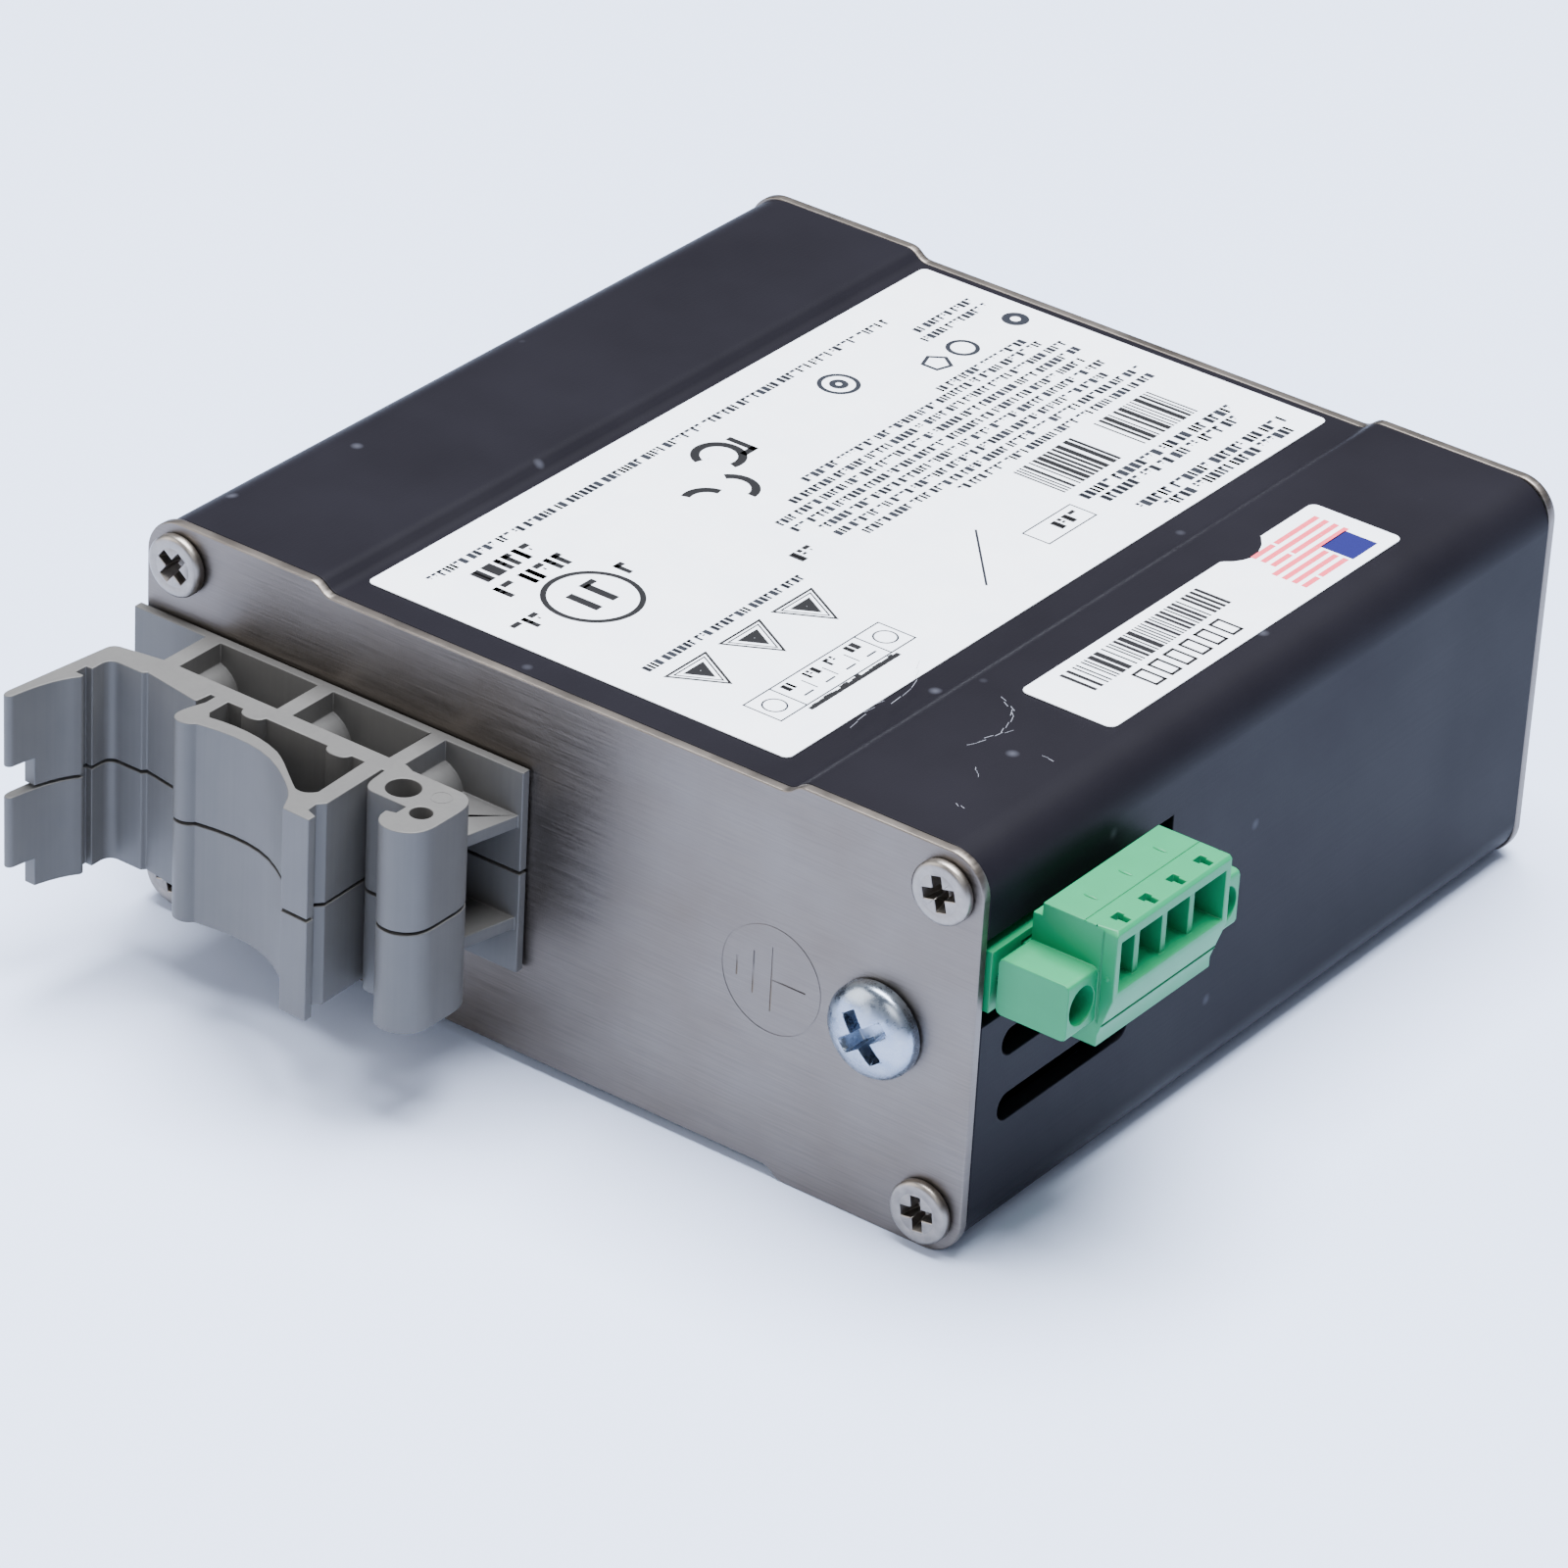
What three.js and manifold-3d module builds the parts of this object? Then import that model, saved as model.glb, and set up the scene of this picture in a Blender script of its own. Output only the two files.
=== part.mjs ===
// DIN rail power supply: an extruded aluminium case between two steel end plates, lying on its side
// face, with a spring rail clip on the rear plate and a pluggable screw terminal on the +X side.
// Millimetres. X runs across the rear plate, Y from the rear plate to the front plate, Z upwards.
// The origin is the centre of the rear plate's outer face.

import * as THREE from "three";
import { mergeVertices } from "three/addons/utils/BufferGeometryUtils.js";
import Module from "manifold-3d";

const wasm = await Module();
wasm.setup();

// ---------------------------------------------------------------- driving dimensions

const gap = 0.3;                 // between pieces that touch or pass through each other

const caseWidth = 88.9;
const caseDepth = 87.1;          // over both end plates
const caseHeight = 38.4;
const coverWall = 1.6;
const coverCorner = 4.3;
const plateThickness = 1.0;
const plateCorner = 3.6;
const recessFlat = 47.8;         // flat width of the shallow channel in the top and bottom faces
const recessSlope = 2.4;         // width of the curved step at each side of the channel
const recessDepth = 1.0;

const caseScrewInset = 3.75;     // from both edges of an end plate
const caseScrewRadius = 1.5;
const caseScrewLength = 9;
const caseScrewHeadRadius = 2.9;
const caseScrewHeadHeight = 1.0;
const screwPortRadius = 2.8;     // ports in the cover's corners

const groundScrewInset = 9.45;   // from the rear plate's +X edge
const groundScrewRadius = 2.0;
const groundScrewLength = 7.5;
const groundScrewHeadRadius = 4.4;
const groundScrewHeadHeight = 2.6;
const groundNutHeight = 3.2;
const groundNutAcrossFlats = 7;

const ventHeight = 2.6;
const ventLength = 18.8;
const ventStart = 4.3;           // from the rear plate's outer face
const ventPitch = 6.4;

const railWidth = 35;            // top-hat rail
const railThickness = 1.0;
const railClearance = 0.3;
const clipHalfWidth = 9.7;       // each of the two clip halves, along the rail
const clipSplit = 0.3;           // saw cut between the halves
const clipRise = 0.4;            // clip centre above the case centre
const clipReach = 20.3;          // from the rear plate to the hook tip
const clipWebThickness = 1.2;
const clipBossRadius = 3.0;      // round each rib
const clipRibThickness = 1.7;
const clipScrewRadius = 1.3;
const clipScrewLength = 6.2;
const clipScrewHeadRadius = 2.6;
const clipScrewHeadHeight = 1.6;

const poleCount = 4;
const polePitch = 3.96;
const flangeLength = 4.1;        // screw flange at each end of the plug and header
const connectorStart = 1.4;      // plug's rear end from the rear plate's outer face
const connectorLevel = 7.6;      // connector axis above the case centre
const headerHeight = 5.8;
const headerDepth = 7.6;
const headerProud = 0.35;        // header face in front of the cover
const headerWall = 0.8;
const plugProud = 0.9;           // plug's mating face in front of the cover
const plugDepth = 8.6;
const plugTop = 6.5;             // above the connector axis
const plugBottom = 4.8;          // below the connector axis
const plugSideWall = 0.35;       // beyond the end poles
const tongueDepth = 6.6;
const flangeDepth = 7.0;
const flangeHeight = 5.3;
const plugRoof = 1.2;            // over the wire wells
const wellFloor = 0.6;           // above the connector axis
const wellDepth = 7.2;
const partition = 0.75;
const partitionSetback = 0.85;   // behind the plug's face
const flangeScrewRadius = 0.9;
const flangeScrewHeadRadius = 1.45;
const flangeScrewLength = 8.6;
const clampScrewRadius = 1.15;
const pinWidth = 0.8;

const boardThickness = 1.6;
const boardMargin = 2.0;         // from board to each end plate

const outputCentre = -15;        // output socket on the front plate, along X
const lightPipeRadius = 1.5;
const lightPipeLength = 8;
const lightPipePitch = 6.5;
const lightPipeFirst = 6.5;      // along X
const trimPosition = 30;         // along X
const trimSize = 6;

const labelThickness = 0.12;
const labelCorner = 0.7;
const labelLift = 0.04;          // adhesive layer
const labelSideMargin = 1.45;    // label edge to the channel's edge
const labelStart = 4.2;
const labelEndMargin = 2.1;      // label end to the front plate's outer face
const labelShift = -1.05;        // label centre from the case centre, along X
const stickerWidth = 9.5;
const stickerLength = 44.4;
const stickerStart = 24.8;
const stickerEdge = 4.9;         // from the cover's +X face

// ---------------------------------------------------------------- derived places

const halfWidth = caseWidth / 2;
const halfHeight = caseHeight / 2;
const portX = halfWidth - caseScrewInset;
const portZ = halfHeight - caseScrewInset;
const poleSpan = poleCount * polePitch;
const plugBodyLength = poleSpan + 2 * plugSideWall;
const connectorLength = plugBodyLength + 2 * flangeLength;
const connectorMiddle = connectorStart + connectorLength / 2;
const tongueHeight = headerHeight - 2 * headerWall - 2 * gap;
const wellHeight = plugTop - plugRoof - wellFloor;
const boardBottom = connectorLevel + headerHeight / 2 + gap;
const boardTop = boardBottom + boardThickness;
const innerHalfWidth = halfWidth - coverWall;
const boardHalfWidth = innerHalfWidth - gap;
const clipLeft = -halfWidth;
const labelWidth = recessFlat - 2 * labelSideMargin;
const labelLength = caseDepth - labelStart - labelEndMargin;

// ---------------------------------------------------------------- finishes

const finish = (color, roughness, metalness = 0) =>
  new THREE.MeshStandardMaterial({ color, roughness, metalness });

const blackAnodised = finish(0x2b2b30, 0.55, 0.3);
const brushedSteel = finish(0xa39e98, 0.4, 0.9);
const screwSteel = finish(0xb9b4ae, 0.35, 0.9);
const zincPlate = finish(0xb4c0c8, 0.3, 0.9);
const greyNylon = finish(0x8d9198, 0.55);
const greenNylon = finish(0x55b97c, 0.5);
const tinnedBrass = finish(0xc9c4b2, 0.35, 0.9);
const boardGreen = finish(0x1f5a38, 0.5);
const ferrite = finish(0x3a3a3c, 0.7);
const windingTape = finish(0xc9a53a, 0.5);
const capSleeve = finish(0x20242c, 0.4);
const bareAluminium = finish(0xb8bbbf, 0.4, 0.9);
const clearAcrylic = finish(0xdfe8e2, 0.1);
const blueBody = finish(0x2f5fae, 0.5);
const whiteFilm = finish(0xeef2fb, 0.5);

// ---------------------------------------------------------------- solids

// A closed geometry as a solid that can be joined and cut.
function solid(geometry) {
  const bare = geometry.clone();
  bare.deleteAttribute("normal");
  bare.deleteAttribute("uv");
  const merged = mergeVertices(bare, 1e-5);
  const index = merged.index.array;
  const triangles = [];
  for (let i = 0; i < index.length; i += 3) {
    const [a, b, c] = index.slice(i, i + 3);
    if (a !== b && b !== c && c !== a) {
      triangles.push(a, b, c);
    }
  }
  const vertProperties = new Float32Array(merged.attributes.position.array);
  const triVerts = new Uint32Array(triangles);
  return new wasm.Manifold(new wasm.Mesh({ numProp: 3, vertProperties, triVerts }));
}

function join(...geometries) {
  return geometries.map(solid).reduce((whole, next) => whole.add(next));
}

function cut(whole, ...geometries) {
  return geometries.map(solid).reduce((rest, next) => rest.subtract(next), whole);
}

function geometryOf(manifold) {
  const mesh = manifold.getMesh();
  const geometry = new THREE.BufferGeometry();
  geometry.setAttribute("position", new THREE.BufferAttribute(mesh.vertProperties, 3));
  geometry.setIndex(new THREE.BufferAttribute(mesh.triVerts, 1));
  geometry.computeVertexNormals();
  return geometry;
}

function piece(name, manifold, material) {
  const mesh = new THREE.Mesh(geometryOf(manifold), material);
  mesh.name = name;
  return mesh;
}

// A box between two corners.
function box([x0, y0, z0], [x1, y1, z1]) {
  const geometry = new THREE.BoxGeometry(x1 - x0, y1 - y0, z1 - z0);
  return geometry.translate((x0 + x1) / 2, (y0 + y1) / 2, (z0 + z1) / 2);
}

// Turns geometry built along +Z so that it runs along the given axis.
function aim(geometry, axis) {
  if (axis === "x") {
    return geometry.rotateY(Math.PI / 2);
  }
  if (axis === "y") {
    return geometry.rotateX(-Math.PI / 2);
  }
  if (axis === "-y") {
    return geometry.rotateX(Math.PI / 2);
  }
  if (axis === "-z") {
    return geometry.rotateX(Math.PI);
  }
  return geometry;
}

// A round bar that starts at a point and runs along an axis.
function rod(radius, length, axis, [x, y, z], sides = 16) {
  const bar = new THREE.CylinderGeometry(radius, radius, length, sides);
  bar.rotateX(Math.PI / 2);
  bar.translate(0, 0, length / 2);
  return aim(bar, axis).translate(x, y, z);
}

// A profile of [radius, height] points, from axis to axis, turned about an axis.
function turned(profile, axis, [x, y, z], sides = 16) {
  const points = profile.map(([radius, height]) => new THREE.Vector2(radius, height));
  const body = new THREE.LatheGeometry(points, sides);
  body.rotateX(Math.PI / 2);
  return aim(body, axis).translate(x, y, z);
}

// An outline in X and Y, carried up from one height to another.
function prism(shape, low, high, curveSegments = 4) {
  const options = { depth: high - low, bevelEnabled: false, curveSegments };
  return new THREE.ExtrudeGeometry(shape, options).translate(0, 0, low);
}

// An outline in X and Z, carried from one Y to another. The outline is drawn with Z upwards.
function prismAlongY(shape, start, end, curveSegments = 4) {
  const body = prism(shape, 0, end - start, curveSegments);
  return body.rotateX(Math.PI / 2).translate(0, end, 0);
}

function polygon(points) {
  return new THREE.Shape(points.map(([x, y]) => new THREE.Vector2(x, y)));
}

// A rectangle with round corners between two corners.
function roundedRectangle([x0, y0], [x1, y1], radius) {
  const shape = new THREE.Shape();
  shape.moveTo(x0 + radius, y0);
  shape.lineTo(x1 - radius, y0);
  shape.absarc(x1 - radius, y0 + radius, radius, -Math.PI / 2, 0);
  shape.lineTo(x1, y1 - radius);
  shape.absarc(x1 - radius, y1 - radius, radius, 0, Math.PI / 2);
  shape.lineTo(x0 + radius, y1);
  shape.absarc(x0 + radius, y1 - radius, radius, Math.PI / 2, Math.PI);
  shape.lineTo(x0, y0 + radius);
  shape.absarc(x0 + radius, y0 + radius, radius, Math.PI, 1.5 * Math.PI);
  return shape;
}

// A machine screw with its head's seat at a point and its head towards the axis. The cross recess
// is two crossed slots that leave a floor in the head.
function screw(size, axis, seat) {
  const { radius, length, headRadius, headHeight, domed = false } = size;
  const rim = domed ? 0.35 * headHeight : 0.75 * headHeight;
  const crown = domed ? 0.62 * headRadius : 0.86 * headRadius;
  const shoulder = domed ? 0.78 * headHeight : 0.97 * headHeight;
  const profile = [
    [0, -length],
    [0.8 * radius, -length],
    [radius, -length + 0.2 * radius],
    [radius, 0],
    [headRadius, 0],
    [headRadius, rim],
    [crown, shoulder],
    [0.35 * headRadius, headHeight],
    [0, headHeight],
  ];
  const arm = 0.55 * headRadius;
  const slot = 0.1 * headRadius;
  const floor = 0.45 * headHeight;
  const recess = [
    box([-arm, -slot, floor], [arm, slot, 2 * headHeight]),
    box([-slot, -arm, floor], [slot, arm, 2 * headHeight]),
  ];
  const placed = recess.map((part) => aim(part, axis).translate(...seat));
  return cut(solid(turned(profile, axis, seat)), ...placed);
}

const group = new THREE.Group();

// ---------------------------------------------------------------- case

// The case's cross-section in X and Z: round corners, and a shallow channel with curved sides in
// the top and bottom faces. The inset shrinks it to the inside of the wall.
function caseOutline(corner, inset) {
  const x = halfWidth - inset;
  const z = halfHeight - inset;
  const radius = corner - inset;
  const flat = recessFlat / 2;
  const rise = flat + recessSlope;
  const middle = flat + recessSlope / 2;
  const low = z - recessDepth;
  const shape = new THREE.Shape();
  shape.moveTo(-flat, -low);
  shape.lineTo(flat, -low);
  shape.bezierCurveTo(middle, -low, middle, -z, rise, -z);
  shape.lineTo(x - radius, -z);
  shape.absarc(x - radius, -z + radius, radius, -Math.PI / 2, 0);
  shape.lineTo(x, z - radius);
  shape.absarc(x - radius, z - radius, radius, 0, Math.PI / 2);
  shape.lineTo(rise, z);
  shape.bezierCurveTo(middle, z, middle, low, flat, low);
  shape.lineTo(-flat, low);
  shape.bezierCurveTo(-middle, low, -middle, z, -rise, z);
  shape.lineTo(-x + radius, z);
  shape.absarc(-x + radius, z - radius, radius, Math.PI / 2, Math.PI);
  shape.lineTo(-x, -z + radius);
  shape.absarc(-x + radius, -z + radius, radius, Math.PI, 1.5 * Math.PI);
  shape.lineTo(-rise, -z);
  shape.bezierCurveTo(-middle, -z, -middle, -low, -flat, -low);
  return shape;
}

const corners = [[-1, -1], [1, -1], [1, 1], [-1, 1]];
const coverStart = plateThickness;
const coverEnd = caseDepth - plateThickness;

// A round-ended slot through a side wall.
function ventSlot(side, level) {
  const radius = ventHeight / 2;
  const low = [ventStart, level - radius];
  const high = [ventStart + ventLength, level + radius];
  const shape = roundedRectangle(low, high, 0.999 * radius);
  const slot = prism(shape, 0, 2 * coverWall + 2 * gap, 6);
  slot.rotateX(Math.PI / 2);
  slot.rotateZ(Math.PI / 2);
  return slot.translate(side * (halfWidth - coverWall / 2) - coverWall - gap, 0, 0);
}

function cover() {
  const shell = cut(
    solid(prismAlongY(caseOutline(coverCorner, 0), coverStart, coverEnd, 8)),
    prismAlongY(caseOutline(coverCorner, coverWall), coverStart - 1, coverEnd + 1, 8),
  );
  const length = coverEnd - coverStart;
  const ports = corners.map(([sx, sz]) =>
    rod(screwPortRadius, length, "y", [sx * portX, coverStart, sz * portZ]));
  const guideTop = boardBottom - gap;
  const guides = [-1, 1].map((side) => {
    const inner = side * (innerHalfWidth - 1.8);
    const outer = side * (innerHalfWidth + 0.5);
    const low = [Math.min(inner, outer), coverStart, guideTop - 1];
    return box(low, [Math.max(inner, outer), coverEnd, guideTop]);
  });
  const whole = shell.add(join(...ports)).add(join(...guides));
  const bores = corners.map(([sx, sz]) =>
    rod(caseScrewRadius + gap, length + 2, "y", [sx * portX, coverStart - 1, sz * portZ], 16));
  const vents = [
    ventSlot(1, 0),
    ventSlot(1, -ventPitch),
    ventSlot(-1, -ventPitch),
    ventSlot(-1, 0),
    ventSlot(-1, ventPitch),
  ];
  const opening = box(
    [innerHalfWidth - 4, coverStart - 1, connectorLevel - headerHeight / 2 - 1.4],
    [halfWidth + 1, connectorStart + connectorLength + 1.5, boardTop - 0.8],
  );
  return cut(whole, ...bores, ...vents, opening);
}

function endPlate(start, ...openings) {
  const end = start + plateThickness;
  const sheet = solid(prismAlongY(caseOutline(plateCorner, 0), start, end, 8));
  const holes = corners.map(([sx, sz]) =>
    rod(caseScrewRadius + gap, plateThickness + 2, "y", [sx * portX, start - 1, sz * portZ], 16));
  return cut(sheet, ...holes, ...openings);
}

const groundX = halfWidth - groundScrewInset;
const clipLevels = [
  clipRise + (clipSplit + clipHalfWidth) / 2,
  clipRise - (clipSplit + clipHalfWidth) / 2,
];

// Across the clip, from the case's -X edge: the rail's edges sit in the groove of the left arm and the
// notch of the right block, so what lies between them is drawn for a 35.3 mm span and stretches with
// the rail.
const grooveFloor = 3.5;
const drawnSpan = 35.3;
const railSpan = railWidth + railClearance;
const notchFloor = grooveFloor + railSpan;
const across = (x) => grooveFloor + ((x - grooveFloor) * railSpan) / drawnSpan;
const clipRibX = [8.55, across(20.5) + 0.65, notchFloor - 5.35];
const clipScrewX = [clipRibX[0], clipRibX[2]];
const clipScrewPlaces = clipLevels.flatMap((level) => clipScrewX.map((x) => [clipLeft + x, level]));

const rearHoles = [
  rod(groundScrewRadius + gap, plateThickness + 2, "y", [groundX, -1, 0], 16),
  ...clipScrewPlaces.map(([x, z]) =>
    rod(clipScrewRadius + gap, plateThickness + 2, "y", [x, -1, z], 12)),
];
group.add(piece("cover_extrusion", cover(), blackAnodised));
group.add(piece("rear_plate", endPlate(0, ...rearHoles), brushedSteel));

const caseScrew = {
  radius: caseScrewRadius,
  length: caseScrewLength,
  headRadius: caseScrewHeadRadius,
  headHeight: caseScrewHeadHeight,
};
corners.forEach(([sx, sz], i) => {
  const rear = screw(caseScrew, "-y", [sx * portX, -gap / 3, sz * portZ]);
  const front = screw(caseScrew, "y", [sx * portX, caseDepth + gap / 3, sz * portZ]);
  group.add(piece(`rear_screw_${i + 1}`, rear, screwSteel));
  group.add(piece(`front_screw_${i + 1}`, front, screwSteel));
});

const groundScrew = {
  radius: groundScrewRadius,
  length: groundScrewLength,
  headRadius: groundScrewHeadRadius,
  headHeight: groundScrewHeadHeight,
  domed: true,
};
group.add(piece("ground_screw", screw(groundScrew, "-y", [groundX, -gap / 3, 0]), zincPlate));

function groundNut() {
  const radius = groundNutAcrossFlats / Math.sqrt(3);
  const start = plateThickness + gap / 3;
  const body = solid(rod(radius, groundNutHeight, "y", [groundX, start, 0], 6));
  return cut(body, rod(groundScrewRadius + gap, groundNutHeight + 2, "y", [groundX, start - 1, 0], 16));
}
group.add(piece("ground_nut", groundNut(), zincPlate));

// ---------------------------------------------------------------- rail clip

// The clip's profile is drawn in X and Y from the case's -X edge and the rear plate, and both halves
// have the same profile.
const seatBack = -11.9;
const seatFront = seatBack - railThickness - railClearance;
const stripFront = -1.2;
const wallBack = -6.6;
const wallFront = -8.5;
const wallEnd = notchFloor - 4.8;

function armOutline() {
  const lip = grooveFloor + 0.9;
  const bump = wallFront - 0.9;
  const shape = new THREE.Shape();
  shape.moveTo(wallEnd, wallBack);
  shape.lineTo(8, wallBack);
  shape.lineTo(3.4, -7.4);
  shape.quadraticCurveTo(2.7, -7.6, 2.6, -8.4);
  shape.lineTo(1.35, 1 - clipReach);
  shape.quadraticCurveTo(1.3, -clipReach, 1.8, -clipReach);
  shape.quadraticCurveTo(2.3, -clipReach, 2.35, 0.7 - clipReach);
  shape.quadraticCurveTo(2.9, -15.6, lip, seatFront - 0.4);
  shape.lineTo(lip, seatFront);
  shape.lineTo(grooveFloor, seatFront);
  shape.lineTo(grooveFloor, seatBack);
  shape.lineTo(lip - 0.2, seatBack);
  shape.lineTo(lip - 0.2, -10.6);
  shape.quadraticCurveTo(lip - 0.1, -9.6, lip + 0.9, -9.6);
  shape.lineTo(7.8, -9.6);
  shape.lineTo(8.1, -9.2);
  shape.lineTo(across(14.2), -10.2);
  shape.lineTo(across(14.4), -10.1);
  shape.lineTo(across(14.55), wallFront);
  shape.lineTo(across(18.2), wallFront);
  shape.quadraticCurveTo(across(18.3), bump, across(19.4), bump);
  shape.quadraticCurveTo(across(20.6), bump, across(20.7), wallFront);
  shape.lineTo(across(27.5), wallFront);
  shape.quadraticCurveTo(across(27.6), bump, across(28.8), bump);
  shape.quadraticCurveTo(across(30), bump, across(30.1), wallFront);
  shape.lineTo(wallEnd, wallFront);
  return shape;
}

// The spring tongue: a loop from the wall to a rounded heel, along a curved web to the toe, and back
// to the wall along a straight leg.
function tongueOutline() {
  const shape = new THREE.Shape();
  shape.moveTo(across(15.1), wallFront + 0.4);
  shape.lineTo(across(15.1), -9.8);
  shape.lineTo(across(14.6), -11.4);
  shape.quadraticCurveTo(across(14), -13.5, across(15.3), -13.75);
  shape.quadraticCurveTo(across(16.3), -13.9, across(16.9), -13.1);
  shape.bezierCurveTo(across(21), -12.3, across(24), -12.5, across(26.6), -14.1);
  shape.bezierCurveTo(across(28.6), -15.3, across(30.2), -16.6, across(30.6), -17.5);
  shape.lineTo(across(31.3), -18.9);
  shape.lineTo(across(34.2), -19);
  shape.lineTo(across(34.2), -18.1);
  shape.lineTo(across(33.1), -17.7);
  shape.lineTo(across(33), -16.6);
  shape.lineTo(across(33.6), -15.9);
  shape.lineTo(across(33.4), wallFront + 0.4);
  shape.lineTo(across(31.5), wallFront + 0.4);
  shape.lineTo(across(31.8), -14.9);
  shape.quadraticCurveTo(across(31.1), -16.1, across(30), -15.7);
  shape.bezierCurveTo(across(28.4), -14.6, across(26.6), -12.9, across(25), -12.1);
  shape.bezierCurveTo(across(22.4), -11, across(19.5), -11, across(17), -11.5);
  shape.lineTo(across(16.5), -10.9);
  shape.lineTo(across(16.5), wallFront + 0.4);
  return shape;
}

function blockOutline() {
  const lipTip = notchFloor - 0.9;
  const right = notchFloor + 3.9;
  const shape = new THREE.Shape();
  shape.moveTo(notchFloor - 5.3, wallBack);
  shape.lineTo(notchFloor - 5, -9.9);
  shape.quadraticCurveTo(notchFloor - 4.9, seatBack, notchFloor - 3.6, seatBack);
  shape.lineTo(notchFloor, seatBack);
  shape.lineTo(notchFloor, seatFront);
  shape.lineTo(lipTip, seatFront - 0.3);
  shape.lineTo(lipTip + 0.1, seatFront - 1.1);
  shape.quadraticCurveTo(lipTip + 0.6, -15.9, notchFloor + 1.6, -15.7);
  shape.quadraticCurveTo(right, -15.2, right, -12.6);
  shape.lineTo(right, -9.8);
  shape.quadraticCurveTo(right, -7.4, right - 1.8, wallBack - 0.4);
  shape.lineTo(notchFloor - 3.3, wallBack - 0.4);
  shape.lineTo(notchFloor - 4.2, wallBack);
  return shape;
}

// The horizontal web at half height, from the base strip to the wall and the block.
function webOutline() {
  return polygon([
    [7.9, stripFront + 0.3],
    [7.9, wallBack - 0.3],
    [wallEnd, wallBack - 0.3],
    [notchFloor + 2.2, wallBack - 0.8],
    [notchFloor + 3.6, stripFront + 0.3],
  ]);
}

function clipHalf(level) {
  const low = level - clipHalfWidth / 2;
  const high = level + clipHalfWidth / 2;
  const parts = [
    prism(armOutline(), low, high, 6),
    prism(tongueOutline(), low, high, 6),
    prism(blockOutline(), low, high, 8),
    box([-0.4, stripFront, low], [notchFloor + 3.9, -gap, high]),
    prism(webOutline(), level - clipWebThickness / 2, level + clipWebThickness / 2),
  ];
  const bossLength = stripFront - wallBack + 0.6;
  for (const x of clipRibX) {
    const left = x - clipRibThickness / 2;
    parts.push(box([left, wallBack - 0.3, low], [left + clipRibThickness, stripFront + 0.3, high]));
    parts.push(rod(clipBossRadius, bossLength, "y", [x, wallBack - 0.3, level], 24));
  }
  const bores = clipScrewX.map((x) =>
    rod(clipScrewRadius + gap, clipScrewLength, "y", [x, 0.5 - clipScrewLength, level], 12));
  const pinHoles = [
    rod(1.55, 2 * clipHalfWidth, "z", [notchFloor - 2.1, -9.7, low - 1], 24),
    rod(1.0, 2 * clipHalfWidth, "z", [notchFloor + 1.6, -11.9, low - 1], 20),
  ];
  const tipRelief = box([0, -clipReach - 1, low - 1], [5, -17.6, low + 2.7]);
  return cut(join(...parts), ...bores, ...pinHoles, tipRelief).translate([clipLeft, 0, 0]);
}
group.add(piece("din_clip_upper", clipHalf(clipLevels[0]), greyNylon));
group.add(piece("din_clip_lower", clipHalf(clipLevels[1]), greyNylon));

const clipScrew = {
  radius: clipScrewRadius,
  length: clipScrewLength,
  headRadius: clipScrewHeadRadius,
  headHeight: clipScrewHeadHeight,
};
clipScrewPlaces.forEach(([x, z], i) => {
  const body = screw(clipScrew, "y", [x, plateThickness + gap / 3, z]);
  group.add(piece(`clip_screw_${i + 1}`, body, screwSteel));
});

// ---------------------------------------------------------------- pluggable terminal

// Both connectors are drawn round their own origin: X is the way the plug comes out, from the outer
// face of the case, Y runs along the poles from the middle, and Z is up from the connector axis.
const poles = Array.from({ length: poleCount }, (_, i) => (i - (poleCount - 1) / 2) * polePitch);
const flangeMiddle = plugBodyLength / 2 + flangeLength / 2;
const headerBack = headerProud - headerDepth;
const plugFace = plugProud + plugDepth;
const screwColumn = plugFace - 4.5;

function header() {
  const half = connectorLength / 2 + 0.1;
  const body = solid(box([headerBack, -half, -headerHeight / 2], [headerProud, half, headerHeight / 2]));
  const cavityHalf = plugBodyLength / 2;
  const cavityHeight = headerHeight / 2 - headerWall;
  const cavity = box(
    [headerBack + 1, -cavityHalf, -cavityHeight],
    [headerProud + 1, cavityHalf, cavityHeight],
  );
  const pinHoles = poles.map((y) => {
    const reach = pinWidth / 2 + gap;
    return box([headerBack - 1, y - reach, -reach], [headerBack + 2, y + reach, reach]);
  });
  const screwHoles = [-flangeMiddle, flangeMiddle].map((y) =>
    rod(flangeScrewRadius + gap, headerDepth + 2, "x", [headerBack - 1, y, 0], 16));
  return cut(body, cavity, ...pinHoles, ...screwHoles);
}

// A contact pin: straight through the header, then up through the board.
function pin(y) {
  const half = pinWidth / 2;
  const back = headerBack - 3;
  const top = boardTop - connectorLevel + 1;
  return join(
    box([back, y - half, -half], [headerProud - 1.6, y + half, half]),
    box([back, y - half, -half], [back + pinWidth, y + half, top]),
  );
}

const boardPinHoles = [];

function socket(prefix, place) {
  const holder = new THREE.Group();
  holder.add(piece(`${prefix}_header`, header(), greenNylon));
  poles.forEach((y, i) => {
    holder.add(piece(`${prefix}_pin_${i + 1}`, pin(y), tinnedBrass));
    const hole = rod(pinWidth, boardThickness + 2, "z", [headerBack - 3 + pinWidth / 2, y, -1], 12);
    hole.rotateZ(place.turn);
    boardPinHoles.push(hole.translate(place.x, place.y, boardBottom));
  });
  holder.rotation.z = place.turn;
  holder.position.set(place.x, place.y, connectorLevel);
  return holder;
}

const inputPlace = { x: halfWidth, y: connectorMiddle, turn: 0 };
const outputPlace = { x: outputCentre, y: caseDepth, turn: Math.PI / 2 };
group.add(socket("input", inputPlace));
group.add(socket("output", outputPlace));

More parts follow.
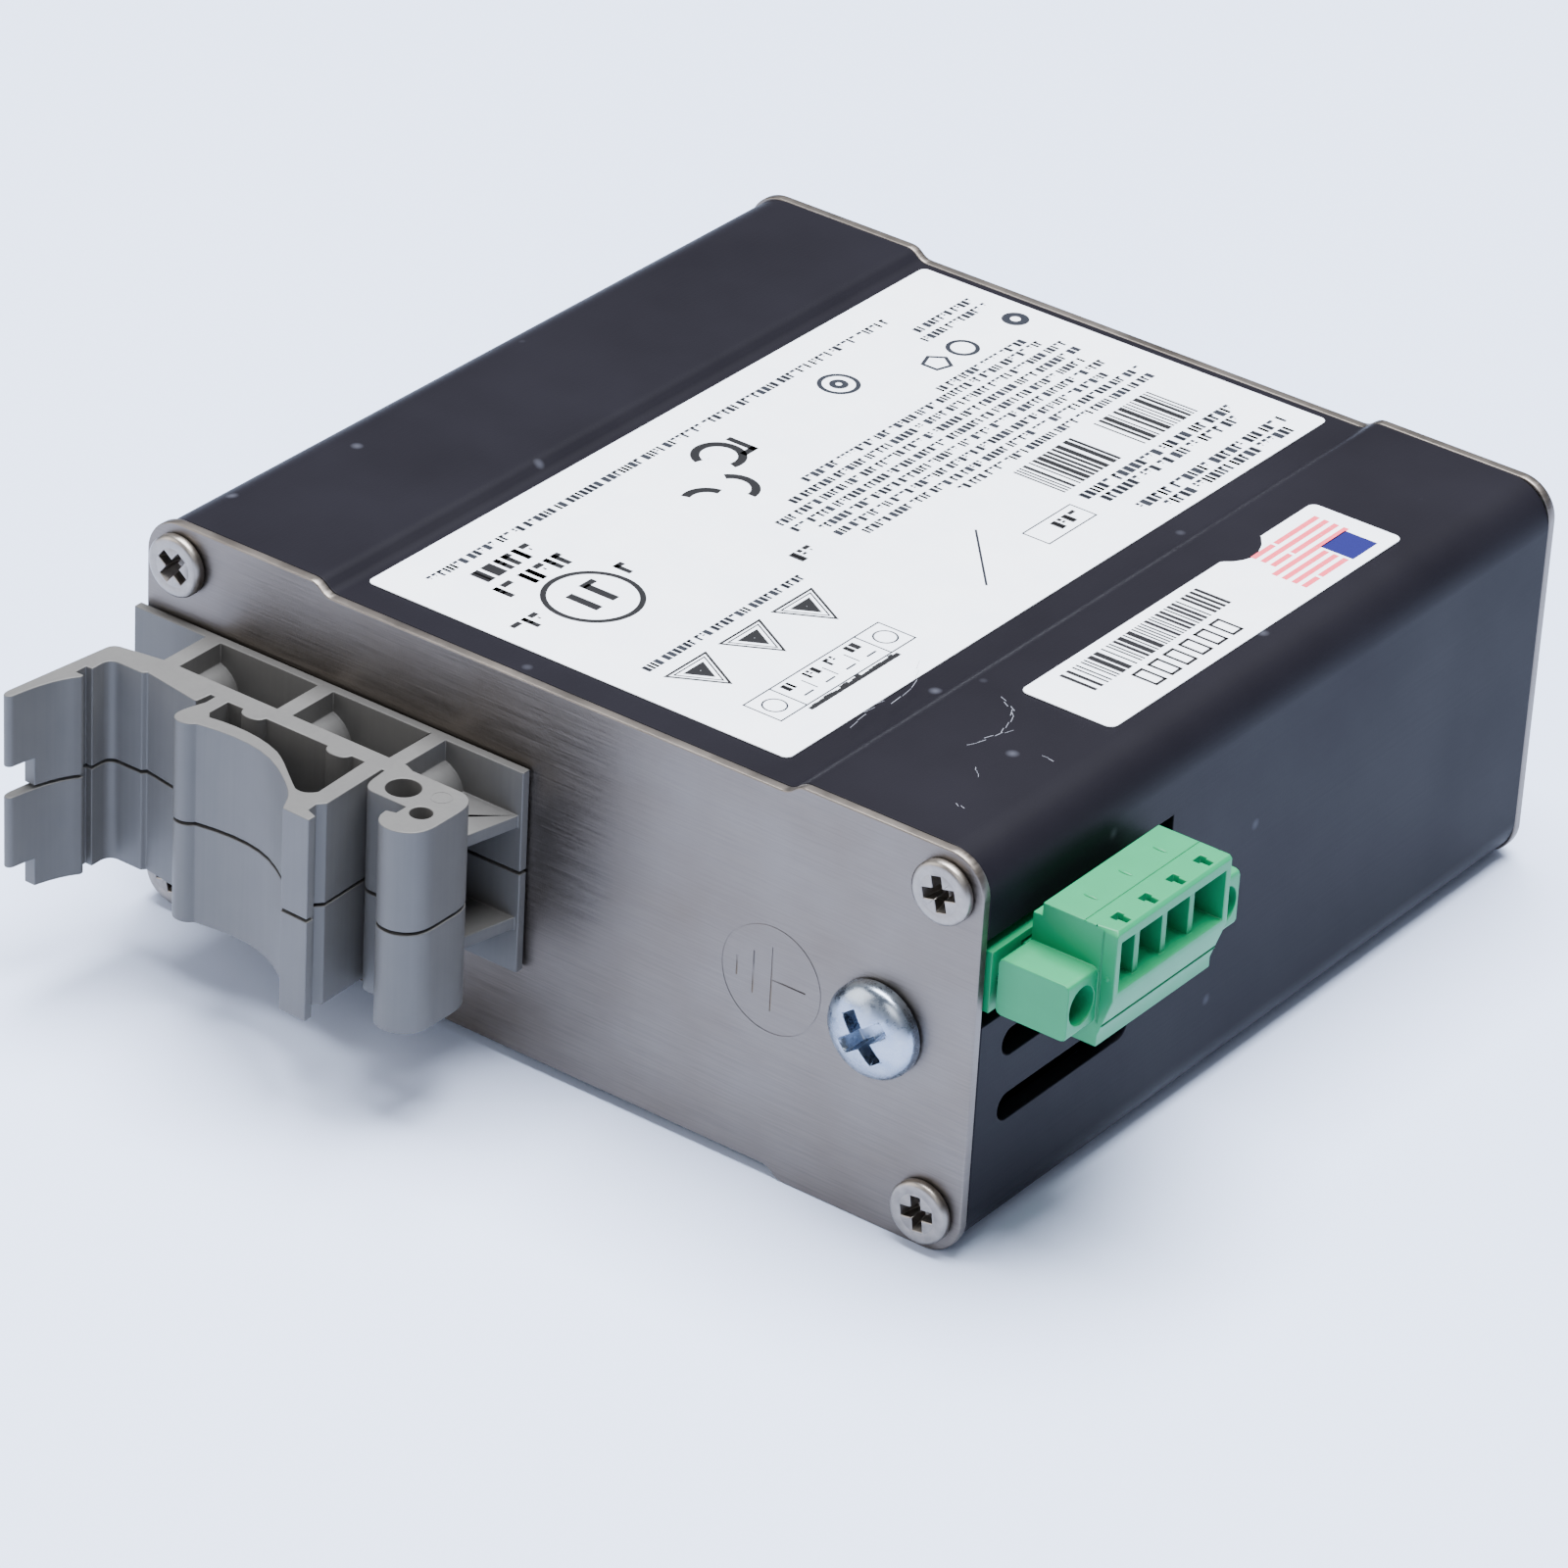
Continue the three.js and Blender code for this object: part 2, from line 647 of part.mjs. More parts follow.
// The plug's side view in X and Z: a step over the mating face, and a front face that leans back
// under the wire entries down to a lip.
function plugOutline() {
  const start = plugProud + gap;
  const sill = wellFloor - 0.9;
  return polygon([
    [start, -plugBottom],
    [plugFace - 1.3, -plugBottom],
    [plugFace - 1.3, 1 - plugBottom],
    [plugFace - 0.1, sill],
    [plugFace, sill + 0.3],
    [plugFace, plugTop - 0.3],
    [plugFace - 0.3, plugTop],
    [start + 0.9, plugTop],
    [start + 0.9, plugTop - 1.2],
    [start, plugTop - 1.2],
  ]);
}

function plugHousing() {
  const bodyHalf = plugBodyLength / 2;
  const flangeEnd = connectorLength / 2;
  const tongueHalf = bodyHalf - gap;
  const tongueBack = plugProud - tongueDepth;
  const body = join(
    prismAlongY(plugOutline(), -bodyHalf, bodyHalf),
    box([tongueBack, -tongueHalf, -tongueHeight / 2], [plugProud + 1, tongueHalf, tongueHeight / 2]),
    prismAlongFlange(-flangeEnd, -bodyHalf + 0.2),
    prismAlongFlange(bodyHalf - 0.2, flangeEnd),
  );
  const wellWidth = polePitch - partition;
  const wells = poles.map((y) => {
    const low = [plugFace - wellDepth, y - wellWidth / 2, wellFloor];
    return box(low, [plugFace + 1, y + wellWidth / 2, wellFloor + wellHeight]);
  });
  const lastWell = poles[poleCount - 1] + wellWidth / 2;
  const setback = box(
    [plugFace - partitionSetback, -lastWell, wellFloor],
    [plugFace + 1, lastWell, wellFloor + wellHeight],
  );
  const screwBores = poles.map((y) =>
    rod(clampScrewRadius + gap, plugBottom + wellFloor + 2, "z", [screwColumn, y, -plugBottom - 1], 14));
  const contactSlots = poles.map((y) => {
    const reach = pinWidth / 2 + gap;
    return box([tongueBack - 1, y - reach, -reach], [plugProud, y + reach, reach]);
  });
  const testSlots = poles.map((y) => {
    const shape = polygon([
      [-0.75, -0.6], [-0.1, -0.6], [-0.1, -0.35], [0.75, -0.35],
      [0.75, 0.35], [-0.1, 0.35], [-0.1, 0.6], [-0.75, 0.6],
    ]);
    return prism(shape, plugTop - 2, plugTop + 1).translate(plugFace - 1.3, y, 0);
  });
  const flangeBores = [-flangeMiddle, flangeMiddle].flatMap((y) => [
    rod(flangeScrewRadius + gap, flangeDepth + 2, "x", [plugProud - 1, y, 0], 16),
    rod(flangeScrewHeadRadius + gap, flangeDepth, "x", [plugProud + 2.7, y, 0], 20),
  ]);
  const openings = [...wells, setback, ...contactSlots, ...testSlots];
  return cut(body, ...openings, ...screwBores, ...flangeBores);
}

// A screw flange with softened long edges, between two places along the poles.
function prismAlongFlange(start, end) {
  const half = flangeHeight / 2;
  const low = [plugProud, -half];
  const high = [plugProud + flangeDepth, half];
  return prismAlongY(roundedRectangle(low, high, 0.5), start, end, 1);
}

// A clamp cage: a metal loop that the clamp screw draws up against the wire.
function clampCage(y) {
  const low = [screwColumn - 1.5, y - 1.3, wellFloor + gap];
  const high = [screwColumn + 1.5, y + 1.3, wellFloor + wellHeight - 1.1];
  const window = box([low[0] - 1, y - 0.8, low[2] + 0.7], [high[0] + 1, y + 0.8, high[2] - 0.6]);
  const screwHole = rod(0.55 * clampScrewRadius + gap, 2, "z", [screwColumn, y, low[2] - 1], 12);
  return cut(solid(box(low, high)), window, screwHole);
}

// A clamp screw under a pole: its slotted head faces down.
function clampScrew(y) {
  const stem = 0.55 * clampScrewRadius;
  const top = wellFloor + 1.9;
  const neck = wellFloor - 0.1;
  const bottom = 0.4 - plugBottom;
  const profile = [
    [0, bottom],
    [clampScrewRadius, bottom],
    [clampScrewRadius, neck],
    [stem, neck],
    [stem, top],
    [0, top],
  ];
  const slot = box([screwColumn - 2, y - 0.25, bottom - 1], [screwColumn + 2, y + 0.25, bottom + 0.7]);
  return cut(solid(turned(profile, "z", [screwColumn, y, 0], 16)), slot);
}

function flangeScrew(y) {
  const head = { headRadius: flangeScrewHeadRadius, headHeight: 1.5 };
  const size = { radius: flangeScrewRadius, length: flangeScrewLength, ...head };
  return screw(size, "x", [plugProud + 2.7 + gap / 3, y, 0]);
}

const plug = new THREE.Group();
plug.add(piece("plug_housing", plugHousing(), greenNylon));
poles.forEach((y, i) => {
  plug.add(piece(`clamp_cage_${i + 1}`, clampCage(y), zincPlate));
  plug.add(piece(`clamp_screw_${i + 1}`, clampScrew(y), zincPlate));
});
plug.add(piece("flange_screw_rear", flangeScrew(-flangeMiddle), zincPlate));
plug.add(piece("flange_screw_front", flangeScrew(flangeMiddle), zincPlate));
plug.position.set(inputPlace.x, inputPlace.y, connectorLevel);
group.add(plug);

// ---------------------------------------------------------------- front plate and its fittings

const trimAxis = [trimPosition, caseDepth - plateThickness - gap, connectorLevel];
const trimRotorLength = 1.6;
const lightPipeX = [0, 1, 2].map((i) => lightPipeFirst + i * lightPipePitch);
const socketHalf = connectorLength / 2 + 0.1 + gap;
const frontOpenings = [
  box(
    [outputCentre - socketHalf, coverEnd - 1, connectorLevel - headerHeight / 2 - gap],
    [outputCentre + socketHalf, caseDepth + 1, connectorLevel + headerHeight / 2 + gap],
  ),
  ...lightPipeX.map((x) =>
    rod(lightPipeRadius + gap, plateThickness + 2, "y", [x, coverEnd - 1, connectorLevel], 16)),
  rod(trimSize / 4 + gap, plateThickness + 2, "y", [trimPosition, coverEnd - 1, connectorLevel], 16),
];
group.add(piece("front_plate", endPlate(coverEnd, ...frontOpenings), brushedSteel));

lightPipeX.forEach((x, i) => {
  const profile = [
    [0, 0],
    [lightPipeRadius, 0],
    [lightPipeRadius, lightPipeLength],
    [0.7 * lightPipeRadius, lightPipeLength + 0.5],
    [0, lightPipeLength + 0.7],
  ];
  const start = [x, caseDepth - lightPipeLength, connectorLevel];
  group.add(piece(`light_pipe_${i + 1}`, solid(turned(profile, "y", start, 16)), clearAcrylic));
});

function trimBody() {
  const [x, y] = trimAxis;
  const half = trimSize / 2;
  const front = y - trimRotorLength + 0.6;
  const low = [x - half, front - trimSize, connectorLevel - half];
  const body = solid(box(low, [x + half, front, Math.min(connectorLevel + half, boardBottom - gap / 3)]));
  return cut(body, rod(trimSize / 4 + gap, 2, "y", [x, front - 1, connectorLevel], 16));
}

function trimRotor() {
  const [x, y, z] = trimAxis;
  const start = y - trimRotorLength;
  const slot = box([x - 2, y - 0.7, z - 0.3], [x + 2, y + 1, z + 0.3]);
  return cut(solid(rod(trimSize / 4, trimRotorLength, "y", [x, start, z], 20)), slot);
}
group.add(piece("trim_pot_body", trimBody(), blueBody));
group.add(piece("trim_pot_screw", trimRotor(), tinnedBrass));

// ---------------------------------------------------------------- circuit board and its parts

// Parts hang from the board's lower face.
const partTop = boardBottom - gap / 3;

function circuitBoard() {
  const start = plateThickness + boardMargin;
  const end = caseDepth - plateThickness - boardMargin;
  const sheet = box([-boardHalfWidth, start, boardBottom], [boardHalfWidth, end, boardTop]);
  return cut(solid(sheet), ...boardPinHoles);
}
group.add(piece("circuit_board", circuitBoard(), boardGreen));

const coreSize = { width: 28, depth: 12, height: 18, leg: 8, window: 6 };
const coreMiddle = { x: 4, y: 52 };

function transformerCore() {
  const { width, depth, height, leg, window } = coreSize;
  const { x, y } = coreMiddle;
  const low = [x - width / 2, y - depth / 2, partTop - height];
  const body = solid(box(low, [x + width / 2, y + depth / 2, partTop]));
  const yoke = (height - 11) / 2;
  const windows = [-1, 1].map((side) => {
    const middle = x + (side * (leg + window)) / 2;
    const from = [middle - window / 2, y - depth, low[2] + yoke];
    return box(from, [middle + window / 2, y + depth, partTop - yoke]);
  });
  return cut(body, ...windows);
}

function transformerWinding() {
  const { depth, height, leg, window } = coreSize;
  const { x, y } = coreMiddle;
  const yoke = (height - 11) / 2;
  const innerX = leg / 2 + gap;
  const innerY = depth / 2 + gap;
  const outerX = leg / 2 + window - gap;
  const outerY = depth / 2 + window - gap;
  const low = partTop - height + yoke + gap;
  const high = partTop - yoke - gap;
  const ring = solid(prism(roundedRectangle([-outerX, -outerY], [outerX, outerY], 4), low, high));
  const core = roundedRectangle([-innerX, -innerY], [innerX, innerY], 0.2);
  return cut(ring, prism(core, low - 1, high + 1, 1)).translate([x, y, 0]);
}
group.add(piece("transformer_core", transformerCore(), ferrite));
group.add(piece("transformer_winding", transformerWinding(), windingTape));

// An electrolytic capacitor with a rolled groove near its base.
function capacitor(radius, height, x, y) {
  const profile = [
    [0, 0],
    [radius - 0.6, 0],
    [radius, 0.6],
    [radius, 2],
    [radius - 0.5, 2.5],
    [radius, 3],
    [radius, height - 0.7],
    [radius - 0.7, height],
    [0, height],
  ];
  return solid(turned(profile, "-z", [x, y, partTop], 18));
}
const bulkRadius = 6.25;
const bulkX = bulkRadius + 6.3 - boardHalfWidth;
[20, 38, 56].forEach((y, i) => {
  group.add(piece(`bulk_capacitor_${i + 1}`, capacitor(bulkRadius, 20, bulkX, y), capSleeve));
});
const outputCapacitorY = coverEnd - boardMargin - 15.1;
[boardHalfWidth - 20.55, boardHalfWidth - 9.55].forEach((x, i) => {
  const can = capacitor(4, 12, x, outputCapacitorY);
  group.add(piece(`output_capacitor_${i + 1}`, can, capSleeve));
});

const choke = new THREE.TorusGeometry(6.6, 3.1, 8, 18);
choke.translate(boardHalfWidth - 11.55, 46, partTop - 3.2);
group.add(piece("filter_choke", solid(choke), windingTape));

const spreaderStart = { x: -14, y: 24 };
const spreaderEnd = { x: 20, y: 26.5 };
group.add(piece("heat_spreader", join(
  box([spreaderStart.x, spreaderStart.y, partTop - 18], [spreaderEnd.x, spreaderEnd.y, partTop]),
  box([spreaderStart.x, spreaderStart.y, partTop - 18], [spreaderEnd.x, spreaderEnd.y + 8, partTop - 16]),
), bareAluminium));
[-6, 12].forEach((x, i) => {
  const back = spreaderStart.y - gap / 3;
  const body = box([x - 5, back - 4.5, partTop - 17], [x + 5, back, partTop - 2]);
  group.add(piece(`power_transistor_${i + 1}`, solid(body), capSleeve));
});

// ---------------------------------------------------------------- label and sticker

function ratingLabel() {
  const low = halfHeight - recessDepth + labelLift;
  const left = labelShift - labelWidth / 2;
  const start = [left, labelStart];
  const end = [left + labelWidth, labelStart + labelLength];
  return solid(prism(roundedRectangle(start, end, labelCorner), low, low + labelThickness));
}

// The sticker has a torn bite in its -X edge.
function assetSticker() {
  const low = halfHeight + labelLift;
  const right = halfWidth - stickerEdge;
  const left = right - stickerWidth;
  const end = stickerStart + stickerLength;
  const outline = roundedRectangle([left, stickerStart], [right, end], 0.8);
  const sheet = solid(prism(outline, low, low + labelThickness));
  const bite = new THREE.Shape();
  bite.moveTo(left - 1, end - 8.2);
  bite.lineTo(left + 0.1, end - 8.2);
  bite.quadraticCurveTo(left + 1.7, end - 10, left + 1.6, end - 12);
  bite.quadraticCurveTo(left + 1.2, end - 13.5, left + 0.2, end - 14.2);
  bite.lineTo(left - 1, end - 16);
  return cut(sheet, prism(bite, low - 1, low + 1, 3));
}
group.add(piece("rating_label", ratingLabel(), whiteFilm));
group.add(piece("asset_sticker", assetSticker(), whiteFilm));

export default group;
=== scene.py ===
# %% [markdown]
# A power supply that clips on a 35 mm rail: a black anodised extrusion between two brushed steel
# plates, a grey nylon rail clip and a green pluggable terminal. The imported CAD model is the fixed
# frame. Each visible part is remade round it with softened edges, fine detail and its real surface.

# %% Load the frame
import math
import random
import bmesh
import bpy
from mathutils import Matrix, Vector


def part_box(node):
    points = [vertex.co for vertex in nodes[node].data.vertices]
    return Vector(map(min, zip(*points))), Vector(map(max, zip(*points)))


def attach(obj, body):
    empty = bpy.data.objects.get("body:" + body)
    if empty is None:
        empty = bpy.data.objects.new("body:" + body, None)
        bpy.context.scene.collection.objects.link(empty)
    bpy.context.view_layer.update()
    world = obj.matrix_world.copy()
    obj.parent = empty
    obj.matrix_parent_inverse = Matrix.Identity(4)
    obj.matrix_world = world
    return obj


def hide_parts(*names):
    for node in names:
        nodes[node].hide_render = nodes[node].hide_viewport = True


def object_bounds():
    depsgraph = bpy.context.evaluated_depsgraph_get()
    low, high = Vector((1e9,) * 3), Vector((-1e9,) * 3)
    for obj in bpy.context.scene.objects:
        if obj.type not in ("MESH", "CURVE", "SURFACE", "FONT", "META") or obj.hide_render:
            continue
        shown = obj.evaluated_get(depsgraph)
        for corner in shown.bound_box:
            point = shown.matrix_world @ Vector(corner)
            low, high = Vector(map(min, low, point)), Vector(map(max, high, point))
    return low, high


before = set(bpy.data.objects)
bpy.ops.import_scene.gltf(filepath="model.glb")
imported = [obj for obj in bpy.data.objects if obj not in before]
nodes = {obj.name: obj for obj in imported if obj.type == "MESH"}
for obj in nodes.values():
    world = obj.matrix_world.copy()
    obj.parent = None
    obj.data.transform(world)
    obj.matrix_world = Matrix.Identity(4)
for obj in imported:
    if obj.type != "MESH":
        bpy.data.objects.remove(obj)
cad_bounds = [list(corner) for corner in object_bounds()]
MM = 0.001


def corners(node):
    """A CAD node's lowest and highest corners in millimetres."""
    return tuple(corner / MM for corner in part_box(node))


case_left = corners("cover_extrusion")[0].x
box_mm = [[round(v / MM, 1) for v in corner] for corner in cad_bounds]
print("frame", len(nodes), "nodes, mm from", box_mm[0], "to", box_mm[1])


# %% [markdown]
# The object lies on a pale bench. The camera looks down at 30 degrees over the clip and the +X
# corner with a long lens, because a long lens keeps the box's edges nearly parallel.

# %% Floor and camera
floor_mesh = bpy.data.meshes.new("bench_top")
bm = bmesh.new()
bmesh.ops.create_grid(bm, x_segments=1, y_segments=1, size=3.0)
bm.to_mesh(floor_mesh)
bm.free()
floor_mesh.transform(Matrix.Translation((0, 0, cad_bounds[0][2])))
floor = bpy.data.objects.new("bench_top", floor_mesh)
bpy.context.scene.collection.objects.link(floor)

azimuth, elevation, roll = (math.radians(angle) for angle in (35.248, 30.336, 3.296))
camera_place = Vector((0.33033, -0.43330, 0.32933))
lens_mm = 173.09
back = Vector((
    math.sin(azimuth) * math.cos(elevation), -math.cos(azimuth) * math.cos(elevation), math.sin(elevation)
))
right = Vector((0, 0, 1)).cross(back).normalized()
up = back.cross(right)
right, up = math.cos(roll) * right + math.sin(roll) * up, math.cos(roll) * up - math.sin(roll) * right
camera_data = bpy.data.cameras.new("bench_camera")
camera_data.lens = lens_mm
camera_data.sensor_width = 36
camera = bpy.data.objects.new("bench_camera", camera_data)
camera.matrix_world = Matrix.Translation(camera_place) @ Matrix((right, up, back)).transposed().to_4x4()
bpy.context.scene.collection.objects.link(camera)
bpy.context.scene.camera = camera
print("camera", [round(v, 3) for v in camera_place], "m, lens", lens_mm, "mm")

# %% [markdown]
# A light tent gives soft light from all round: a pale world, one large panel above and a little
# behind, and weaker panels at the left and by the camera. The right side stays darker, so the
# faces of the box part from each other.

# %% Lights
world = bpy.data.worlds.new("light_tent")
world.use_nodes = True
background = world.node_tree.nodes["Background"]
background.inputs["Color"].default_value = (0.88, 0.92, 1.0, 1)
background.inputs["Strength"].default_value = 0.36
bpy.context.scene.world = world
object_middle = Vector((0, 0.04, 0))


def panel(name, place, size, power, colour):
    """A square soft light that faces the middle of the object."""
    data = bpy.data.lights.new(name, "AREA")
    data.size = size
    data.energy = power
    data.color = colour
    lamp = bpy.data.objects.new(name, data)
    aim = object_middle - Vector(place)
    lamp.matrix_world = Matrix.Translation(place) @ aim.to_track_quat("-Z", "Y").to_matrix().to_4x4()
    bpy.context.scene.collection.objects.link(lamp)
    print(name, power, "W")


panel("overhead_panel", (0.0, 0.16, 1.0), 0.8, 58, (0.94, 0.965, 1.0))
panel("left_panel", (-0.80, -0.70, 0.42), 0.8, 9, (1.0, 0.97, 0.93))
panel("camera_panel", (0.45, -0.95, 0.75), 0.5, 3.5, (1.0, 0.98, 0.95))

# %% [markdown]
# Materials are networks of nodes. One function adds a node, sets its inputs and links them, and
# one turns a hex colour as read on a screen into the linear values that the renderer needs.

# %% Material helpers
def linear(hex_colour):
    """An sRGB hex colour as linear RGBA."""
    channels = [int(hex_colour[i:i + 2], 16) / 255 for i in (0, 2, 4)]
    return tuple(c / 12.92 if c <= 0.04045 else ((c + 0.055) / 1.055) ** 2.4 for c in channels) + (1,)


def add(tree, kind, inputs=None, **settings):
    """One node: its settings, and inputs that are values or other nodes' outputs."""
    node = tree.nodes.new(kind)
    for key, value in settings.items():
        setattr(node, key, value)
    for key, value in (inputs or {}).items():
        if isinstance(value, bpy.types.NodeSocket):
            tree.links.new(value, node.inputs[key])
        else:
            node.inputs[key].default_value = value
    return node


def surface(name, colour, roughness, metallic=0.0, ior=None):
    """A named material with one Principled shader. Returns the material, its tree and shader."""
    made = bpy.data.materials.new(name)
    made.use_nodes = True
    tree = made.node_tree
    tree.nodes.clear()
    shader = add(tree, "ShaderNodeBsdfPrincipled", {
        "Base Color": linear(colour), "Roughness": roughness,
    })
    shader.inputs["Metallic"].default_value = metallic
    if ior:
        shader.inputs["IOR"].default_value = ior
    add(tree, "ShaderNodeOutputMaterial", {"Surface": shader.outputs["BSDF"]})
    return made, tree, shader


print("mid grey 808080 is", round(linear("808080")[0], 3), "in linear light")

# %% [markdown]
# A Mix node set to RGBA has its factor on input 0, its two colours on 6 and 7 and its result on
# output 2. The bench is a plain pale laminate, and faint cloudiness stops it looking like paper.

# %% Bench laminate
bench_laminate, tree, shader = surface("bench_laminate", "ccd8f6", 0.55, ior=1.5)
place = add(tree, "ShaderNodeTexCoord").outputs["Object"]
cloud = add(tree, "ShaderNodeTexNoise", {"Vector": place, "Scale": 6.0, "Detail": 3.0})
tint = add(tree, "ShaderNodeMix", {
    0: cloud.outputs["Fac"], 6: linear("c8d6f5"), 7: linear("d2ddf8"),
}, data_type="RGBA")
tree.links.new(tint.outputs[2], shader.inputs["Base Color"])
floor.data.materials.append(bench_laminate)
print(bench_laminate.name, len(tree.nodes), "nodes")

# %% [markdown]
# Black anodised aluminium: the dye sits in a thin oxide skin, so it reads as a dark blue-black
# satin coat and not as bare metal. Extrusion leaves faint die lines along the length about 0.4 mm
# apart, blasting before the bath leaves a 0.12 mm grain, and dust shows as sparse pale specks.

# %% Anodised aluminium
black_anodised, tree, shader = surface("black_anodised_aluminium", "121114", 0.5, ior=1.5)
shader.inputs["Specular IOR Level"].default_value = 0.05
place = add(tree, "ShaderNodeTexCoord").outputs["Object"]
die_axes = add(tree, "ShaderNodeMapping", {"Vector": place, "Scale": (2500, 25, 2500)})
die_lines = add(tree, "ShaderNodeTexNoise", {
    "Vector": die_axes.outputs["Vector"], "Scale": 1.0, "Detail": 2.0,
})
grain = add(tree, "ShaderNodeTexNoise", {"Vector": place, "Scale": 8000.0, "Detail": 2.0})
clouds = add(tree, "ShaderNodeTexNoise", {"Vector": place, "Scale": 60.0, "Detail": 4.0})
dye = add(tree, "ShaderNodeMix", {
    0: clouds.outputs["Fac"], 6: linear("100f14"), 7: linear("19181e"),
}, data_type="RGBA")
dust_cells = add(tree, "ShaderNodeTexVoronoi", {"Vector": place, "Scale": 120.0})
dust = add(tree, "ShaderNodeMapRange", {
    "Value": dust_cells.outputs["Distance"], "From Min": 0.01, "From Max": 0.08, "To Min": 0.35,
    "To Max": 0.0,
})
dusty = add(tree, "ShaderNodeMix", {
    0: dust.outputs["Result"], 6: dye.outputs[2], 7: linear("5d5f6b"),
}, data_type="RGBA")
tree.links.new(dusty.outputs[2], shader.inputs["Base Color"])
sheen = add(tree, "ShaderNodeMapRange", {
    "Value": clouds.outputs["Fac"], "From Min": 0.3, "From Max": 0.7, "To Min": 0.40,
    "To Max": 0.50,
})
tree.links.new(sheen.outputs["Result"], shader.inputs["Roughness"])
relief = add(tree, "ShaderNodeMath", {
    0: grain.outputs["Fac"], 1: die_lines.outputs["Fac"],
}, operation="ADD")
bump = add(tree, "ShaderNodeBump", {
    "Height": relief.outputs["Value"], "Strength": 0.25, "Distance": 0.00003,
})
tree.links.new(bump.outputs["Normal"], shader.inputs["Normal"])
print(black_anodised.name, len(tree.nodes), "nodes")

# %% [markdown]
# Brushed stainless sheet: a belt has run along X, so streaks are several millimetres long and
# about 0.15 mm apart, drawn a little coarser so that they show. Handling leaves warm, cloudy
# patches a few millimetres wide.

# %% Brushed stainless steel
brushed_stainless, tree, shader = surface("brushed_stainless_steel", "736f6b", 0.40, metallic=1.0)
place = add(tree, "ShaderNodeTexCoord").outputs["Object"]
belt = add(tree, "ShaderNodeMapping", {"Vector": place, "Scale": (130, 130, 5200)})
streaks = add(tree, "ShaderNodeTexNoise", {
    "Vector": belt.outputs["Vector"], "Scale": 1.0, "Detail": 4.0, "Roughness": 0.65,
})
patches = add(tree, "ShaderNodeTexNoise", {"Vector": place, "Scale": 110.0, "Detail": 3.0})
bright = add(tree, "ShaderNodeMix", {
    0: streaks.outputs["Fac"], 6: linear("5f5b58"), 7: linear("87827e"),
}, data_type="RGBA")
warm = add(tree, "ShaderNodeMix", {
    0: patches.outputs["Fac"], 6: linear("ffffff"), 7: linear("d8cec4"),
}, data_type="RGBA")
toned = add(tree, "ShaderNodeMix", {
    0: 0.9, 6: bright.outputs[2], 7: warm.outputs[2],
}, data_type="RGBA", blend_type="MULTIPLY")
tree.links.new(toned.outputs[2], shader.inputs["Base Color"])
polish = add(tree, "ShaderNodeMapRange", {
    "Value": streaks.outputs["Fac"], "From Min": 0.3, "From Max": 0.7, "To Min": 0.34,
    "To Max": 0.50,
})
tree.links.new(polish.outputs["Result"], shader.inputs["Roughness"])
bump = add(tree, "ShaderNodeBump", {
    "Height": streaks.outputs["Fac"], "Strength": 0.35, "Distance": 0.00004,
})
tree.links.new(bump.outputs["Normal"], shader.inputs["Normal"])
print(brushed_stainless.name, len(tree.nodes), "nodes")

# %% [markdown]
# Turned stainless for the case screws is the same metal with no brushing: a cloudy grey with fine
# tool marks. Zinc plate is brighter, bluish from its passivation, with a spangle of about 1 mm.

# %% Screw metals
turned_stainless, tree, shader = surface("turned_stainless_steel", "b3ada6", 0.36, metallic=1.0)
place = add(tree, "ShaderNodeTexCoord").outputs["Object"]
marks = add(tree, "ShaderNodeTexNoise", {"Vector": place, "Scale": 1400.0, "Detail": 4.0})
stained = add(tree, "ShaderNodeMix", {
    0: marks.outputs["Fac"], 6: linear("6f6a65"), 7: linear("9b958f"),
}, data_type="RGBA")
tree.links.new(stained.outputs[2], shader.inputs["Base Color"])
polish = add(tree, "ShaderNodeMapRange", {
    "Value": marks.outputs["Fac"], "To Min": 0.28, "To Max": 0.48,
})
tree.links.new(polish.outputs["Result"], shader.inputs["Roughness"])

blue_zinc, tree, shader = surface("blue_passivated_zinc", "c0cad4", 0.26, metallic=1.0)
place = add(tree, "ShaderNodeTexCoord").outputs["Object"]
spangle = add(tree, "ShaderNodeTexNoise", {
    "Vector": place, "Scale": 700.0, "Detail": 5.0, "Roughness": 0.7,
})
passivated = add(tree, "ShaderNodeMix", {
    0: spangle.outputs["Fac"], 6: linear("667792"), 7: linear("b4bcc4"),
}, data_type="RGBA")
tree.links.new(passivated.outputs[2], shader.inputs["Base Color"])
polish = add(tree, "ShaderNodeMapRange", {
    "Value": spangle.outputs["Fac"], "From Min": 0.35, "From Max": 0.65, "To Min": 0.18,
    "To Max": 0.38,
})
tree.links.new(polish.outputs["Result"], shader.inputs["Roughness"])
bump = add(tree, "ShaderNodeBump", {
    "Height": spangle.outputs["Fac"], "Strength": 0.2, "Distance": 0.00003,
})
tree.links.new(bump.outputs["Normal"], shader.inputs["Normal"])
print(turned_stainless.name, "and", blue_zinc.name)

# %% [markdown]
# Both plastics are polyamide: a dense, slightly waxy moulding. The grey clip has drag lines down
# its walls from leaving the mould along Z, and the green terminal has a fine 0.1 mm spark texture
# and faint flow clouds. Light goes a little way in, so a trace of subsurface softens the edges.

